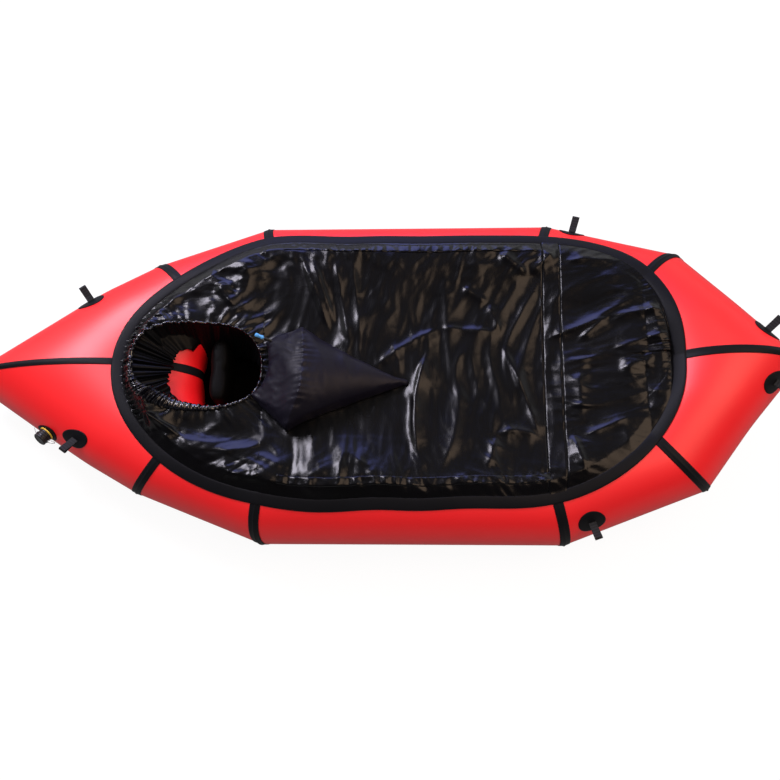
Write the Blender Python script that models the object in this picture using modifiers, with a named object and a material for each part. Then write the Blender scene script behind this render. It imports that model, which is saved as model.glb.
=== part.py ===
"""One-person packraft: a ring of air-filled fabric tubes with a floor, a fabric deck, a seat and fittings.

Metres, +Z up, +X to the bow, +Y to the left side. The origin is under the middle of the hull's box.
"""

import math
from collections import namedtuple

import bmesh
import bpy
import numpy as np
from mathutils import Matrix, Vector

# Clearances
GAP = 0.0003
SHEET_CLEARANCE = 0.0005

# Hull tubes
TUBE_FACETS = 24
TUBE_RADIUS = 0.145
TUBE_WALL = 0.0008
CENTRE_LINE_LENGTH = 1.804
HALF_SPREAD = 0.332
BOW_RISE = 0.1095
STERN_TIP_DROP = 0.022
BOW_TIP_LIFT = 0.0065

# Each station is one cross-section of the hull's left half, from the stern to the bow. Along, out and rise
# are shares of the centre line's length, its half spread and the bow's rise. Half width, half height and
# lean are shares of the tube's radius, and heading is the plan direction of the section's outer side.
Station = namedtuple("Station", "along out rise heading_deg half_width half_height lean")
STATION_SHARES = (
    Station(0.0000, 0.000, 0.073, 180.0, 2.366, 1.024, 0.000),
    Station(0.1020, 0.435, 0.037, 148.6, 1.317, 1.017, 0.100),
    Station(0.1469, 0.645, 0.000, 126.5, 1.017, 1.000, 0.241),
    Station(0.3165, 0.988, 0.000, 108.5, 1.028, 1.000, -0.162),
    Station(0.7284, 1.000, 0.000, 74.0, 1.014, 1.000, -0.083),
    Station(0.9096, 0.660, 0.452, 48.5, 1.034, 1.000, -0.393),
    Station(0.9568, 0.326, 0.822, 25.9, 0.998, 1.028, -0.086),
    Station(1.0000, 0.000, 1.000, 0.0, 1.390, 1.010, 0.000),
)
STERN, STERN_MIDDLE, REAR_QUARTER, REAR_SIDE, FRONT_SIDE, FRONT_QUARTER, BOW_MIDDLE, BOW = range(8)
SEAMS = {
    "stern": STERN,
    "rear_quarter": REAR_QUARTER,
    "rear_side": REAR_SIDE,
    "front_side": FRONT_SIDE,
    "front_quarter": FRONT_QUARTER,
    "bow": BOW,
}
PANELS = {
    "stern": (STERN, STERN_MIDDLE, REAR_QUARTER),
    "rear_quarter": (REAR_QUARTER, REAR_SIDE),
    "side": (REAR_SIDE, FRONT_SIDE),
    "front_quarter": (FRONT_SIDE, FRONT_QUARTER),
    "bow": (FRONT_QUARTER, BOW_MIDDLE, BOW),
}

# Tapes that cover the seams
SEAM_TAPE_WIDTH = 0.028
SEAM_TAPE_LIFT = 0.0006
TAPE_THICKNESS = 0.0005
DECK_TAPE_WIDTH = 0.038
DECK_LIFT = 0.0026
DECK_TAPE_STEPS = 96

# Floor
FLOOR_THICKNESS = 0.0012
FLOOR_SEAM_FACET = 16
FLOOR_EDGE_INSET = 0.014
FLOOR_TAPE_REACH = 0.034
FLOOR_TIP_SHARE = 0.03
FLOOR_CLEARANCE = 0.0010
FLOOR_TURN_LIMIT = 0.001
FLOOR_EDGE_LIMIT_SHARE = 0.5
FLOOR_TAPE_LIMIT_SHARE = 0.75

# Deck
# Places along the deck are shares of the hull's centre line, and its tips of the tip sections' widths.
DECK_STERN_TIP_SHARE = 0.37380
DECK_BOW_TIP_SHARE = 0.68846
DECK_WIDEST_SHARE = 0.43860
DECK_HALF_WIDTH = 0.409
DECK_STERN_POWER = 2.35
DECK_BOW_POWER = 3.0
DECK_THICKNESS = 0.0010
DECK_SAG = 0.034
DECK_CREST_DEG = 98.0
DECK_TUBE_COLUMNS = 3
DECK_SLACK_COLUMNS = 4
DECK_TIP_MARGIN = 0.006
DECK_ROW_MARGIN = 0.004
DECK_SLACK_POWER = 0.8
DECK_CREST_LIMIT_SHARE = 0.96
CROSS_STRIP_SHARE = 0.72131
CROSS_STRIP_WIDTH = 0.056
CROSS_STRIP_THICKNESS = 0.0022
SIDE_STRIP_REAR_SHARE = 0.32774
SIDE_STRIP_WIDTH = 0.026
SIDE_STRIP_INSET = 0.030
SIDE_STRIP_THICKNESS = 0.0016
SIDE_STRIP_ROWS = 10

# Cockpit opening and its elastic hem
OPENING_FRONT_REACH = 0.188
OPENING_LENGTH = 0.340
OPENING_HALF_WIDTH = 0.124
OPENING_POWER = 2.5
OPENING_ROWS = 12
OPENING_RIM_LIFT = 0.016
OPENING_LIFT_REACH = 0.070
HEM_RADIUS = 0.0045

# Peak bladder that holds the deck up in front of the cockpit
BLADDER_OPENING_CLEARANCE = 0.012
BLADDER_REAR_LENGTH = 0.108
BLADDER_FRONT_LENGTH = 0.275
BLADDER_REAR_SHIFT = -0.010
BLADDER_RIDGE_SHIFT = -0.046
BLADDER_REAR_HALF_WIDTH = 0.082
BLADDER_RIDGE_HALF_WIDTH = 0.150
BLADDER_TIP_HALF_WIDTH = 0.010
BLADDER_REAR_HEIGHT = 0.020
BLADDER_RIDGE_HEIGHT = 0.105
BLADDER_TIP_HEIGHT = 0.008
BLADDER_ARCH_POWER = 0.9
BLADDER_NARROWING_POWER = 0.85
BLADDER_FALL_POWER = 1.15
BLADDER_REAR_SECTIONS = 5
BLADDER_FRONT_SECTIONS = 8
BLADDER_ARCH_POINTS = 13
BLADDER_BASE_POINTS = 9

# Oral tube of the bladder and its push valve
ORAL_TUBE_RADIUS = 0.0038
ORAL_TUBE_LENGTH = 0.034
ORAL_TUBE_BORE_RADIUS = 0.0029
ORAL_TUBE_BORE_DEPTH = 0.0080
ORAL_TUBE_STEPS = 12
MOUTHPIECE_STEPS = 14
ORAL_TUBE_SECTION_SHARE = 0.22
ORAL_TUBE_SIDE_SHARE = 0.74
ORAL_TUBE_LEVEL_SHARE = 0.45
ORAL_TUBE_PROBE_SHARE = 0.05
ORAL_TUBE_PROBE_DEG = 4.0
MOUTHPIECE_RADIUS = 0.0056
MOUTHPIECE_LENGTH = 0.026
MOUTHPIECE_TRAVEL = 0.003
MOUTHPIECE_NECK_LENGTH = 0.003
# Radius and height shares of the mouthpiece's profile, from its tip down to its skirt.
MOUTHPIECE_PROFILE_SHARES = ((0.75, 1.0), (1.0, 0.93), (1.0, 0.70), (0.84, 0.62), (0.84, 0.36), (1.0, 0.28))

# Seat and backrest
SEAT_WALL_CLEARANCE = 0.018
SEAT_LENGTH = 0.430
SEAT_HALF_WIDTH = 0.178
SEAT_HEIGHT = 0.086
SEAT_REAR_WIDTH_SHARE = 0.56
SEAT_TAPER_SHARE = 0.60
BACKREST_WALL_CLEARANCE = 0.036
BACKREST_DEPTH = 0.048
BACKREST_HALF_WIDTH = 0.094
BACKREST_HEIGHT = 0.150
SEAT_TAPER_POWER = 1.5
CUSHION_SIDE_POWER = 0.6
CUSHION_BASE_POWER = 0.5
CUSHION_BASE_SHARE = 1.1
CUSHION_CROWN_SHARE = 0.1
CUSHION_END_POWER = 12
CUSHION_END_SHARE = 0.06
CUSHION_SECTIONS = 13
CUSHION_POINTS = 28
CHANNEL_DEPTH_SHARE = 0.16
CHANNEL_PLACE_SHARE = 0.36
CHANNEL_WIDTH_SHARE = 0.10

# Lashing patches and their webbing loops
PATCH_RADIUS = 0.037
PATCH_THICKNESS = 0.0008
PATCH_LIFT = 0.0008
PATCH_SIDES = 18
PATCH_RINGS = 3
LOOP_LENGTH = 0.046
LOOP_WIDTH = 0.020
LOOP_THICKNESS = 0.0014
LOOP_EYE_RADIUS = 0.0050
LOOP_ROOT_HALF_GAP = 0.0010
LOOP_ROOT_CLEARANCE = 0.0023
LOOP_ROOT_REACH = 0.0010
LOOP_EYE_STEPS = 10
LOOP_EYE_START_DEG = -35.0
LOOP_NECK_SHARE = 0.25
LOOP_DROOP_DEG = 22.0
# Place of each pair of patches: station number along the hull, and angle round the tube from its outer side.
Fitting = namedtuple("Fitting", "station angle_deg")
LOOP_FITTINGS = {
    "stern": Fitting(0.895, 39.0),
    "side": Fitting(4.20, 35.0),
    "bow": Fitting(6.55, 41.0),
}

# Main inflation valve
VALVE_FITTING = Fitting(0.708, 18.0)
VALVE_FLANGE_RADIUS = 0.034
VALVE_RING_RADIUS = 0.0215
VALVE_RING_HEIGHT = 0.0035
VALVE_BODY_RADIUS = 0.0190
VALVE_BODY_HEIGHT = 0.0120
VALVE_BORE_RADIUS = 0.0110
VALVE_BORE_DEPTH = 0.0090
VALVE_COLLAR_RADIUS = 0.0205
VALVE_COLLAR_HOLE_RADIUS = 0.0150
VALVE_COLLAR_HEIGHT = 0.0018
VALVE_TAB_LENGTH = 0.0090
VALVE_TAB_WIDTH = 0.0080
VALVE_CAP_RADIUS = 0.0195
VALVE_CAP_HEIGHT = 0.0110
VALVE_CAP_GROOVE = 0.0012
VALVE_PLUG_LENGTH = 0.0070
TURNED_STEPS = 20
# Radius and depth shares of the body's and the cap's rims, from the top down: a bevel and a groove.
VALVE_BODY_PROFILE_SHARES = ((0.92, 0.0), (1.0, 0.08), (1.0, 0.38), (0.93, 0.46), (0.93, 0.60), (1.0, 0.68))
VALVE_CAP_TOP_SHARE = 0.80
VALVE_CAP_PROFILE_SHARES = ((0.0, 0.18), (0.0, 0.42), (1.0, 0.50), (1.0, 0.62), (0.0, 0.70))
VALVE_PLUG_CLEARANCE = 0.0020
COLLAR_ARC_STEPS = 9

# Colours (linear), roughness
Finish = namedtuple("Finish", "colour roughness metallic")
FINISHES = {
    "hull_fabric": Finish((0.90, 0.035, 0.045), 0.42, 0.0),
    "tape": Finish((0.016, 0.017, 0.024), 0.60, 0.0),
    "deck_fabric": Finish((0.010, 0.010, 0.013), 0.22, 0.0),
    "bladder_fabric": Finish((0.018, 0.014, 0.026), 0.55, 0.0),
    "floor_fabric": Finish((0.014, 0.013, 0.013), 0.65, 0.0),
    "webbing": Finish((0.010, 0.010, 0.011), 0.80, 0.0),
    "black_plastic": Finish((0.012, 0.012, 0.013), 0.40, 0.0),
    "blue_plastic": Finish((0.10, 0.36, 0.70), 0.35, 0.0),
    "yellow_plastic": Finish((0.70, 0.42, 0.03), 0.45, 0.0),
}

UP = np.array((0.0, 0.0, 1.0))
MIRROR = np.array((1.0, -1.0, 1.0))
HALF_STEP_DEG = 180.0 / TUBE_FACETS
FACET_INSET = math.cos(math.radians(HALF_STEP_DEG))
CENTRE_HEIGHT = TUBE_RADIUS * FACET_INSET + SEAM_TAPE_LIFT + TAPE_THICKNESS
TIP_DIFFERENCE = TUBE_RADIUS * (STATION_SHARES[BOW].half_width - STATION_SHARES[STERN].half_width)
STERN_CENTRE_X = -(CENTRE_LINE_LENGTH + TIP_DIFFERENCE) / 2
STERN_WALL_X = STERN_CENTRE_X + TUBE_RADIUS * STATION_SHARES[STERN].half_width
BOW_CENTRE_X = STERN_CENTRE_X + CENTRE_LINE_LENGTH
BOW_WALL_X = BOW_CENTRE_X - TUBE_RADIUS * STATION_SHARES[BOW].half_width
DECK_STERN_X = STERN_CENTRE_X + DECK_STERN_TIP_SHARE * (STERN_WALL_X - STERN_CENTRE_X)
DECK_BOW_X = BOW_CENTRE_X - DECK_BOW_TIP_SHARE * (BOW_CENTRE_X - BOW_WALL_X)
DECK_WIDEST_X = STERN_CENTRE_X + DECK_WIDEST_SHARE * CENTRE_LINE_LENGTH
CROSS_STRIP_X = STERN_CENTRE_X + CROSS_STRIP_SHARE * CENTRE_LINE_LENGTH
SIDE_STRIP_REAR_X = STERN_CENTRE_X + SIDE_STRIP_REAR_SHARE * CENTRE_LINE_LENGTH
SEAT_REAR_X = STERN_WALL_X + SEAT_WALL_CLEARANCE
BACKREST_REAR_X = STERN_WALL_X + BACKREST_WALL_CLEARANCE
OPENING_FRONT_X = STERN_WALL_X + OPENING_FRONT_REACH
OPENING_REAR_X = OPENING_FRONT_X - OPENING_LENGTH
BLADDER_REAR_X = OPENING_FRONT_X + BLADDER_OPENING_CLEARANCE
BLADDER_RIDGE_X = BLADDER_REAR_X + BLADDER_REAR_LENGTH
BLADDER_TIP_X = BLADDER_RIDGE_X + BLADDER_FRONT_LENGTH
SECOND_LAYER = SEAM_TAPE_LIFT + TAPE_THICKNESS + GAP
NEAR_SEAM = 0.03
STEEPEST_SHARE = 0.3
TOP_SIDE_DEG = 150.0
SEED_ANGLES_DEG = (20.0, 164.0, 4.0)
SEEDS_PER_STATION = 15
SEARCH_STEPS = 8
CREST_SEARCH_STEPS = 24
MIRROR_JOIN = 0.0001
TURNED_JOIN = 0.00001
TURNED_SHARP_DEG = 35.0
CUSHION_SHARP_DEG = 60.0
BLADDER_SHARP_DEG = 40.0


def clear_scene():
    """Remove every object of the open file."""
    for item in list(bpy.data.objects):
        bpy.data.objects.remove(item, do_unlink=True)


def collection(name):
    """Return a new collection linked to the scene."""
    group = bpy.data.collections.new(name)
    bpy.context.scene.collection.children.link(group)
    return group


def material(finish_name, object_name):
    """Return an own Principled material for one object."""
    finish = FINISHES[finish_name]
    result = bpy.data.materials.new(object_name + "_" + finish_name)
    result.use_nodes = True
    shader = result.node_tree.nodes["Principled BSDF"]
    shader.inputs["Base Color"].default_value = (*finish.colour, 1.0)
    shader.inputs["Roughness"].default_value = finish.roughness
    shader.inputs["Metallic"].default_value = finish.metallic
    return result


def place(name, mesh, finish_name, group, parent=None, matrix=None):
    """Link a mesh as a named object with its own material."""
    item = bpy.data.objects.new(name, mesh)
    group.objects.link(item)
    mesh.materials.clear()
    mesh.materials.append(material(finish_name, name))
    if parent is not None:
        item.parent = parent
    if matrix is not None:
        item.matrix_basis = matrix
    return item


def hinge_empty(name, group, point):
    """Return an empty at a joint."""
    item = bpy.data.objects.new(name, None)
    group.objects.link(item)
    item.location = Vector(point)
    return item


def solidify(item, thickness, offset, even=True):
    """Give an open sheet its thickness: offset 1 adds it on the normal's side, -1 on the other."""
    modifier = item.modifiers.new("Thickness", "SOLIDIFY")
    modifier.thickness = thickness
    modifier.offset = offset
    modifier.use_even_offset = even


def sheet_mesh(name, rows, wrap=False, facing=None):
    """Return an open sheet through rows of points, turned to face a direction if one is given."""
    shape = bmesh.new()
    grid = [[shape.verts.new(point) for point in row] for row in rows]
    columns = len(rows[0])
    for low, high in zip(grid, grid[1:]):
        for k in range(columns if wrap else columns - 1):
            following = (k + 1) % columns
            shape.faces.new((low[k], low[following], high[following]))
            shape.faces.new((low[k], high[following], high[k]))
    shape.normal_update()
    if facing is not None and sum(face.normal.dot(Vector(facing)) for face in shape.faces) < 0:
        bmesh.ops.reverse_faces(shape, faces=shape.faces)
    mesh = bpy.data.meshes.new(name)
    shape.to_mesh(mesh)
    shape.free()
    return mesh


def pipe_mesh(name, outer_rings, inner_rings):
    """Return a closed pipe wall through outer rings and inner rings, both from one end to the other."""
    shape = bmesh.new()
    outer = [[shape.verts.new(point) for point in ring] for ring in outer_rings]
    inner = [[shape.verts.new(point) for point in ring] for ring in inner_rings]
    pairs = list(zip(outer, outer[1:])) + list(zip(inner, inner[1:]))
    pairs += [(outer[0], inner[0]), (outer[-1], inner[-1])]
    for low, high in pairs:
        for k, start in enumerate(low):
            following = (k + 1) % len(low)
            shape.faces.new((start, low[following], high[following]))
            shape.faces.new((start, high[following], high[k]))
    bmesh.ops.recalc_face_normals(shape, faces=shape.faces)
    mesh = bpy.data.meshes.new(name)
    shape.to_mesh(mesh)
    shape.free()
    return mesh


def loft_mesh(name, rings, sharp_deg):
    """Return a closed solid through rings of points, with a face on each end ring."""
    shape = bmesh.new()
    loops = [[shape.verts.new(point) for point in ring] for ring in rings]
    for low, high in zip(loops, loops[1:]):
        for k, start in enumerate(low):
            following = (k + 1) % len(low)
            shape.faces.new((start, low[following], high[following], high[k]))
    shape.faces.new(list(reversed(loops[0])))
    shape.faces.new(loops[-1])
    bmesh.ops.recalc_face_normals(shape, faces=shape.faces)
    mesh = bpy.data.meshes.new(name)
    shape.to_mesh(mesh)
    shape.free()
    mesh.shade_smooth()
    mesh.set_sharp_from_angle(angle=math.radians(sharp_deg))
    return mesh


def mirrored_mesh(mesh, name):
    """Return a copy of a mesh on the other side of the XZ plane, its faces turned back outward."""
    shape = bmesh.new()
    shape.from_mesh(mesh)
    bmesh.ops.scale(shape, vec=Vector(MIRROR), verts=shape.verts)
    bmesh.ops.reverse_faces(shape, faces=shape.faces)
    result = bpy.data.meshes.new(name)
    shape.to_mesh(result)
    shape.free()
    return result


def sheet_pair(stem, rows, finish_name, group, thickness, offset, wrap=False, facing=None):
    """Add a left sheet and its mirror image on the right."""
    left = sheet_mesh(stem + "_left", rows, wrap, facing)
    for name, mesh in ((stem + "_left", left), (stem + "_right", mirrored_mesh(left, stem + "_right"))):
        solidify(place(name, mesh, finish_name, group), thickness, offset)


def side_name(stem, side):
    """Return a name with the side it stands on."""
    return stem + ("_left" if side > 0 else "_right")


class HullForm:
    """Left half of the hull's surface: sections at the stations, with straight lines between them."""

    def __init__(self):
        self.centre = np.zeros((len(STATION_SHARES), 3))
        self.across = np.zeros_like(self.centre)
        self.upward = np.zeros_like(self.centre)
        for index, share in enumerate(STATION_SHARES):
            heading = math.radians(share.heading_deg)
            outer = np.array((math.cos(heading), math.sin(heading), 0.0))
            travel = np.array((math.sin(heading), -math.cos(heading), 0.0))
            self.centre[index] = (
                STERN_CENTRE_X + share.along * CENTRE_LINE_LENGTH,
                share.out * HALF_SPREAD,
                CENTRE_HEIGHT + share.rise * BOW_RISE,
            )
            self.across[index] = share.half_width * TUBE_RADIUS * outer
            self.upward[index] = TUBE_RADIUS * (share.half_height * UP + share.lean * travel)
        self.across[STERN] -= STERN_TIP_DROP * UP
        self.across[BOW] += BOW_TIP_LIFT * UP
        self._seeds()

    def section(self, station):
        """Return the centre, across and upward vectors at a station number, whole or between two."""
        low = int(min(max(math.floor(station), STERN), BOW - 1))
        share = station - low
        return tuple(
            values[low] * (1 - share) + values[low + 1] * share
            for values in (self.centre, self.across, self.upward)
        )

    def point(self, station, angle):
        """Return the point of the round tube at a station number and an angle in radians."""
        centre, across, upward = self.section(station)
        return centre + math.cos(angle) * across + math.sin(angle) * upward

    def slopes(self, station, angle):
        """Return the surface's changes with the station and with the angle."""
        step = NEAR_SEAM / 2
        before, after = max(station - step, STERN), min(station + step, BOW)
        along = (self.point(after, angle) - self.point(before, angle)) / (after - before)
        _, across, upward = self.section(station)
        around = -math.sin(angle) * across + math.cos(angle) * upward
        return along, around

    def normal(self, station, angle):
        """Return the unit normal that points out of the tube."""
        along, around = self.slopes(station, angle)
        normal = np.cross(around, along)
        return normal / np.linalg.norm(normal)

    def lifted(self, station, angle, lift):
        """Return a point of the round tube moved out along its normal."""
        return self.point(station, angle) + lift * self.normal(station, angle)

    def facet_angle(self, corner):
        """Return the angle of one corner of the faceted tube, counted from the outer side."""
        return math.radians(HALF_STEP_DEG * (2 * corner + 1))

    def ring(self, station, lift=0.0):
        """Return the corners of the faceted tube's ring at a station number."""
        angles = [self.facet_angle(corner) for corner in range(TUBE_FACETS)]
        if not lift:
            return [self.point(station, angle) for angle in angles]
        return [self.lifted(station, angle, lift) for angle in angles]

    def beside(self, station, toward, lift=0.0, clear=0.0):
        """Return the ring at a seam tape's edge or clear of it, toward the next station (1) or the last."""
        corners = []
        for corner in range(TUBE_FACETS):
            angle = self.facet_angle(corner)
            line = self.point(station + toward, angle) - self.point(station, angle)
            place_on_line = station + toward * (SEAM_TAPE_WIDTH / 2 + clear) / np.linalg.norm(line)
            corners.append(self.lifted(place_on_line, angle, lift))
        return corners

    def seam_end(self, station, toward):
        """Return a seam's ring moved by half a gap square to the seam's plane, toward one of its sides."""
        _, across, upward = self.section(station)
        square = np.cross(across, upward)
        square *= GAP / 2 / np.linalg.norm(square)
        travel = self.centre[station + toward] - self.centre[station]
        if square @ travel < 0:
            square = -square
        return [corner + square for corner in self.ring(station)]

    def seam_crest(self, station, both_sides):
        """Return a seam's ring moved out so that a tape over the fold keeps a gap to both panels."""
        corners = []
        for corner, point in enumerate(self.ring(station)):
            angle = self.facet_angle(corner)
            toward = -1 if station == BOW else 1
            one = self.normal(station + toward * NEAR_SEAM, angle)
            other = self.normal(station - toward * NEAR_SEAM, angle) if both_sides else one * MIRROR
            mean = one + other
            mean /= np.linalg.norm(mean)
            corners.append(point + mean * SEAM_TAPE_LIFT / max(mean @ one, STEEPEST_SHARE))
        return corners

    def _seeds(self):
        """Sample the tube's upper side, to start the search in over()."""
        stations = np.linspace(STERN, BOW, SEEDS_PER_STATION * BOW + 1)
        angles = np.radians(np.arange(*SEED_ANGLES_DEG))
        self.seed_places = [(station, angle) for station in stations for angle in angles]
        self.seed_points = np.array([self.point(*seed)[:2] for seed in self.seed_places])

    def over(self, x, y):
        """Return the station number and angle of the tube's upper side over a plan point with y >= 0."""
        target = np.array((x, y))
        nearest = np.argmin(((self.seed_points - target) ** 2).sum(axis=1))
        station, angle = self.seed_places[nearest]
        for _ in range(SEARCH_STEPS):
            along, around = self.slopes(station, angle)
            error = target - self.point(station, angle)[:2]
            change = np.linalg.lstsq(np.stack((along[:2], around[:2]), axis=1), error, rcond=None)[0]
            station = min(max(station + change[0], STERN), BOW)
            angle += change[1]
        return station, angle

    def height_over(self, x, y, lift):
        """Return the lifted surface's height over a plan point, or None beside the tube's upper side."""
        station, angle = self.over(x, y)
        point = self.point(station, angle)
        missed = math.hypot(point[0] - x, point[1] - y) > GAP
        if missed or not 0 < angle < math.radians(TOP_SIDE_DEG):
            return None
        return point[2] + lift / max(self.normal(station, angle)[2], STEEPEST_SHARE)

    def on_top(self, x, y, lift):
        """Return the point over a plan point, moved out along the normal; right mirrors left."""
        point = self.lifted(*self.over(x, abs(y)), lift)
        return point * MIRROR if y < 0 else point


HULL = HullForm()


def mirror_half(item):
    """Add the right half of a piece whose left half ends on the middle plane."""
    mirror = item.modifiers.new("Right half", "MIRROR")
    mirror.use_axis = (False, True, False)
    mirror.use_clip = True
    mirror.merge_threshold = MIRROR_JOIN


def drawn_in(ring):
    """Return a ring drawn in toward its middle by the wall's share of the tube's radius."""
    middle = sum(ring) / len(ring)
    return [middle + (corner - middle) * (1.0 - TUBE_WALL / TUBE_RADIUS) for corner in ring]


def hull_panels(group):
    """Add the ten fabric panels of the tube, each a thin pipe that is open at both seams."""
    for name, stations in PANELS.items():
        first, last = stations[0], stations[-1]
        rings = [HULL.seam_end(first, 1), HULL.beside(first, 1, clear=GAP)]
        for station in stations[1:-1]:
            rings.append(HULL.ring(station))
        rings += [HULL.beside(last, -1, clear=GAP), HULL.seam_end(last, -1)]
        left_name = side_name("hull_" + name, 1)
        right_name = side_name("hull_" + name, -1)
        left = pipe_mesh(left_name, rings, [drawn_in(ring) for ring in rings])
        place(left_name, left, "hull_fabric", group)
        place(right_name, mirrored_mesh(left, right_name), "hull_fabric", group)


def seam_tapes(group):
    """Add a ring of tape over each seam: one at each tip and four on each side."""
    for name, station in SEAMS.items():
        if station in (STERN, BOW):
            toward = 1 if station == STERN else -1
            crest = [corner * np.array((1.0, 0.0, 1.0)) for corner in HULL.seam_crest(station, False)]
            rows = [crest, HULL.beside(station, toward, SEAM_TAPE_LIFT)][::toward]
            item = place("seam_tape_" + name, sheet_mesh("seam_tape_" + name, rows, True), "tape", group)
            mirror_half(item)
            solidify(item, TAPE_THICKNESS, 1.0)
        else:
            behind = HULL.beside(station, -1, SEAM_TAPE_LIFT)
            rows = [behind, HULL.seam_crest(station, True), HULL.beside(station, 1, SEAM_TAPE_LIFT)]
            sheet_pair("seam_tape_" + name, rows, "tape", group, TAPE_THICKNESS, 1.0, wrap=True)


def floor_row(station):
    """Return the left half of the floor's underside at a station: seam, edge and tape's inner line."""
    centre, across, _ = HULL.section(station)
    angle = HULL.facet_angle(FLOOR_SEAM_FACET)
    seam = HULL.point(station, angle)
    inward = -across * np.array((1.0, 1.0, 0.0))
    inward /= np.linalg.norm(inward)
    drop = SECOND_LAYER * UP
    limit = max(seam[1] / max(-inward[1], FLOOR_TURN_LIMIT), 0.0)
    edge = min(FLOOR_EDGE_INSET, limit * FLOOR_EDGE_LIMIT_SHARE)
    reach = min(FLOOR_TAPE_REACH, limit * FLOOR_TAPE_LIMIT_SHARE)
    return seam - drop, seam + edge * inward - drop, seam + reach * inward - drop


def floor_rows(stations):
    """Return the floor's rows of points from right to left."""
    rows = []
    for station in stations:
        _, edge, inner = (point + FLOOR_CLEARANCE * UP for point in floor_row(station))
        rows.append([edge * MIRROR, inner * MIRROR, inner, edge])
    return rows


def floor(group):
    """Add the flat floor, its rising bow panel, and the tapes that join them to the tubes."""
    flat_stations = [STERN + FLOOR_TIP_SHARE, STERN_MIDDLE, REAR_QUARTER, REAR_SIDE, FRONT_SIDE]
    bow_stations = [FRONT_SIDE, FRONT_QUARTER, BOW_MIDDLE, BOW - FLOOR_TIP_SHARE]
    flat = floor_rows(flat_stations)
    rising = floor_rows(bow_stations)
    rising[0] = [point + GAP * np.array((1.0, 0.0, 0.0)) for point in rising[0]]
    for name, rows in (("floor_main", flat), ("floor_bow", rising)):
        item = place(name, sheet_mesh(name, rows, facing=UP), "floor_fabric", group)
        solidify(item, FLOOR_THICKNESS, 1.0)
    tape_rows = []
    for station in flat_stations + bow_stations[1:]:
        seam, edge, inner = floor_row(station)
        outer_angle = (HULL.facet_angle(FLOOR_SEAM_FACET + 1), HULL.facet_angle(FLOOR_SEAM_FACET))
        facet_middle = sum(HULL.lifted(station, angle, SECOND_LAYER) for angle in outer_angle) / 2
        tape_rows.append([inner, edge, seam, facet_middle])
    for row in (tape_rows[0], tape_rows[-1]):
        for point in row:
            point[1] = max(point[1], GAP)
    sheet_pair("floor_tape", tape_rows, "tape", group, TAPE_THICKNESS, 1.0, facing=-UP)


def deck_outline(turn, inset):
    """Return a plan point of the deck's oval at a turn in radians, drawn in by an inset."""
    power = DECK_BOW_POWER if math.cos(turn) > 0 else DECK_STERN_POWER
    reach = DECK_BOW_X - DECK_WIDEST_X if math.cos(turn) > 0 else DECK_WIDEST_X - DECK_STERN_X
    forward = math.copysign(abs(math.cos(turn)) ** (2 / power), math.cos(turn))
    sideways = math.copysign(abs(math.sin(turn)) ** (2 / power), math.sin(turn))
    return DECK_WIDEST_X + (reach - inset) * forward, (DECK_HALF_WIDTH - inset) * sideways


DECK_INSET = DECK_TAPE_WIDTH + 4 * GAP
DECK_REAR_X = DECK_STERN_X + DECK_INSET
DECK_FRONT_X = DECK_BOW_X - DECK_INSET


def outline_turns():
    """Return the turns of the deck tape's corners on the left side, from the stern to the bow."""
    return [math.pi * (1.0 - (2 * step + 1) / DECK_TAPE_STEPS) for step in range(DECK_TAPE_STEPS // 2)]


DECK_EDGE = np.array([HULL.on_top(*deck_outline(turn, DECK_INSET), DECK_LIFT) for turn in outline_turns()])


def deck_edge(x):
    """Return the deck's half width and edge height at x, along the steps of the tape's inner edge."""
    half_width, height = (float(np.interp(x, DECK_EDGE[:, 0], DECK_EDGE[:, axis])) for axis in (1, 2))
    return half_width, height


def deck_tape(group):
    """Add the broad tape that runs round the deck on top of the tubes."""
    rows = []
    for share in (0.0, 0.5, 1.0):
        row = []
        for step in range(DECK_TAPE_STEPS):
            turn = 2 * math.pi * (step + 0.5) / DECK_TAPE_STEPS
            row.append(HULL.on_top(*deck_outline(turn, share * DECK_TAPE_WIDTH), DECK_LIFT))
        rows.append(row)
    item = place("deck_tape", sheet_mesh("deck_tape", rows, True, UP), "tape", group)
    solidify(item, TAPE_THICKNESS, 1.0)


def opening_half_width(x):
    """Return the half width of the cockpit opening at x."""
    middle = (OPENING_REAR_X + OPENING_FRONT_X) / 2
    share = abs(x - middle) / (OPENING_FRONT_X - middle)
    return OPENING_HALF_WIDTH * max(1.0 - share**OPENING_POWER, 0.0) ** (1 / OPENING_POWER)


def opening_distance(x, y):
    """Return roughly how far a plan point lies outside the opening's rim."""
    middle = (OPENING_REAR_X + OPENING_FRONT_X) / 2
    half_length = OPENING_FRONT_X - middle
    reach = abs((x - middle) / half_length) ** OPENING_POWER + abs(y / OPENING_HALF_WIDTH) ** OPENING_POWER
    return (reach ** (1 / OPENING_POWER) - 1.0) * OPENING_HALF_WIDTH


def crest_y(x):
    """Return how far out the deck leaves the tube at x, and the height of the deck's underside there."""
    half_width, _ = deck_edge(x)
    angle = math.radians(DECK_CREST_DEG)
    low, high = float(STERN), float(BOW)
    for _ in range(CREST_SEARCH_STEPS):
        middle = (low + high) / 2
        if HULL.point(middle, angle)[0] < x:
            low = middle
        else:
            high = middle
    y = min(HULL.point(low, angle)[1], half_width * DECK_CREST_LIMIT_SHARE)
    return y, HULL.height_over(x, y, DECK_LIFT)


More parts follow.
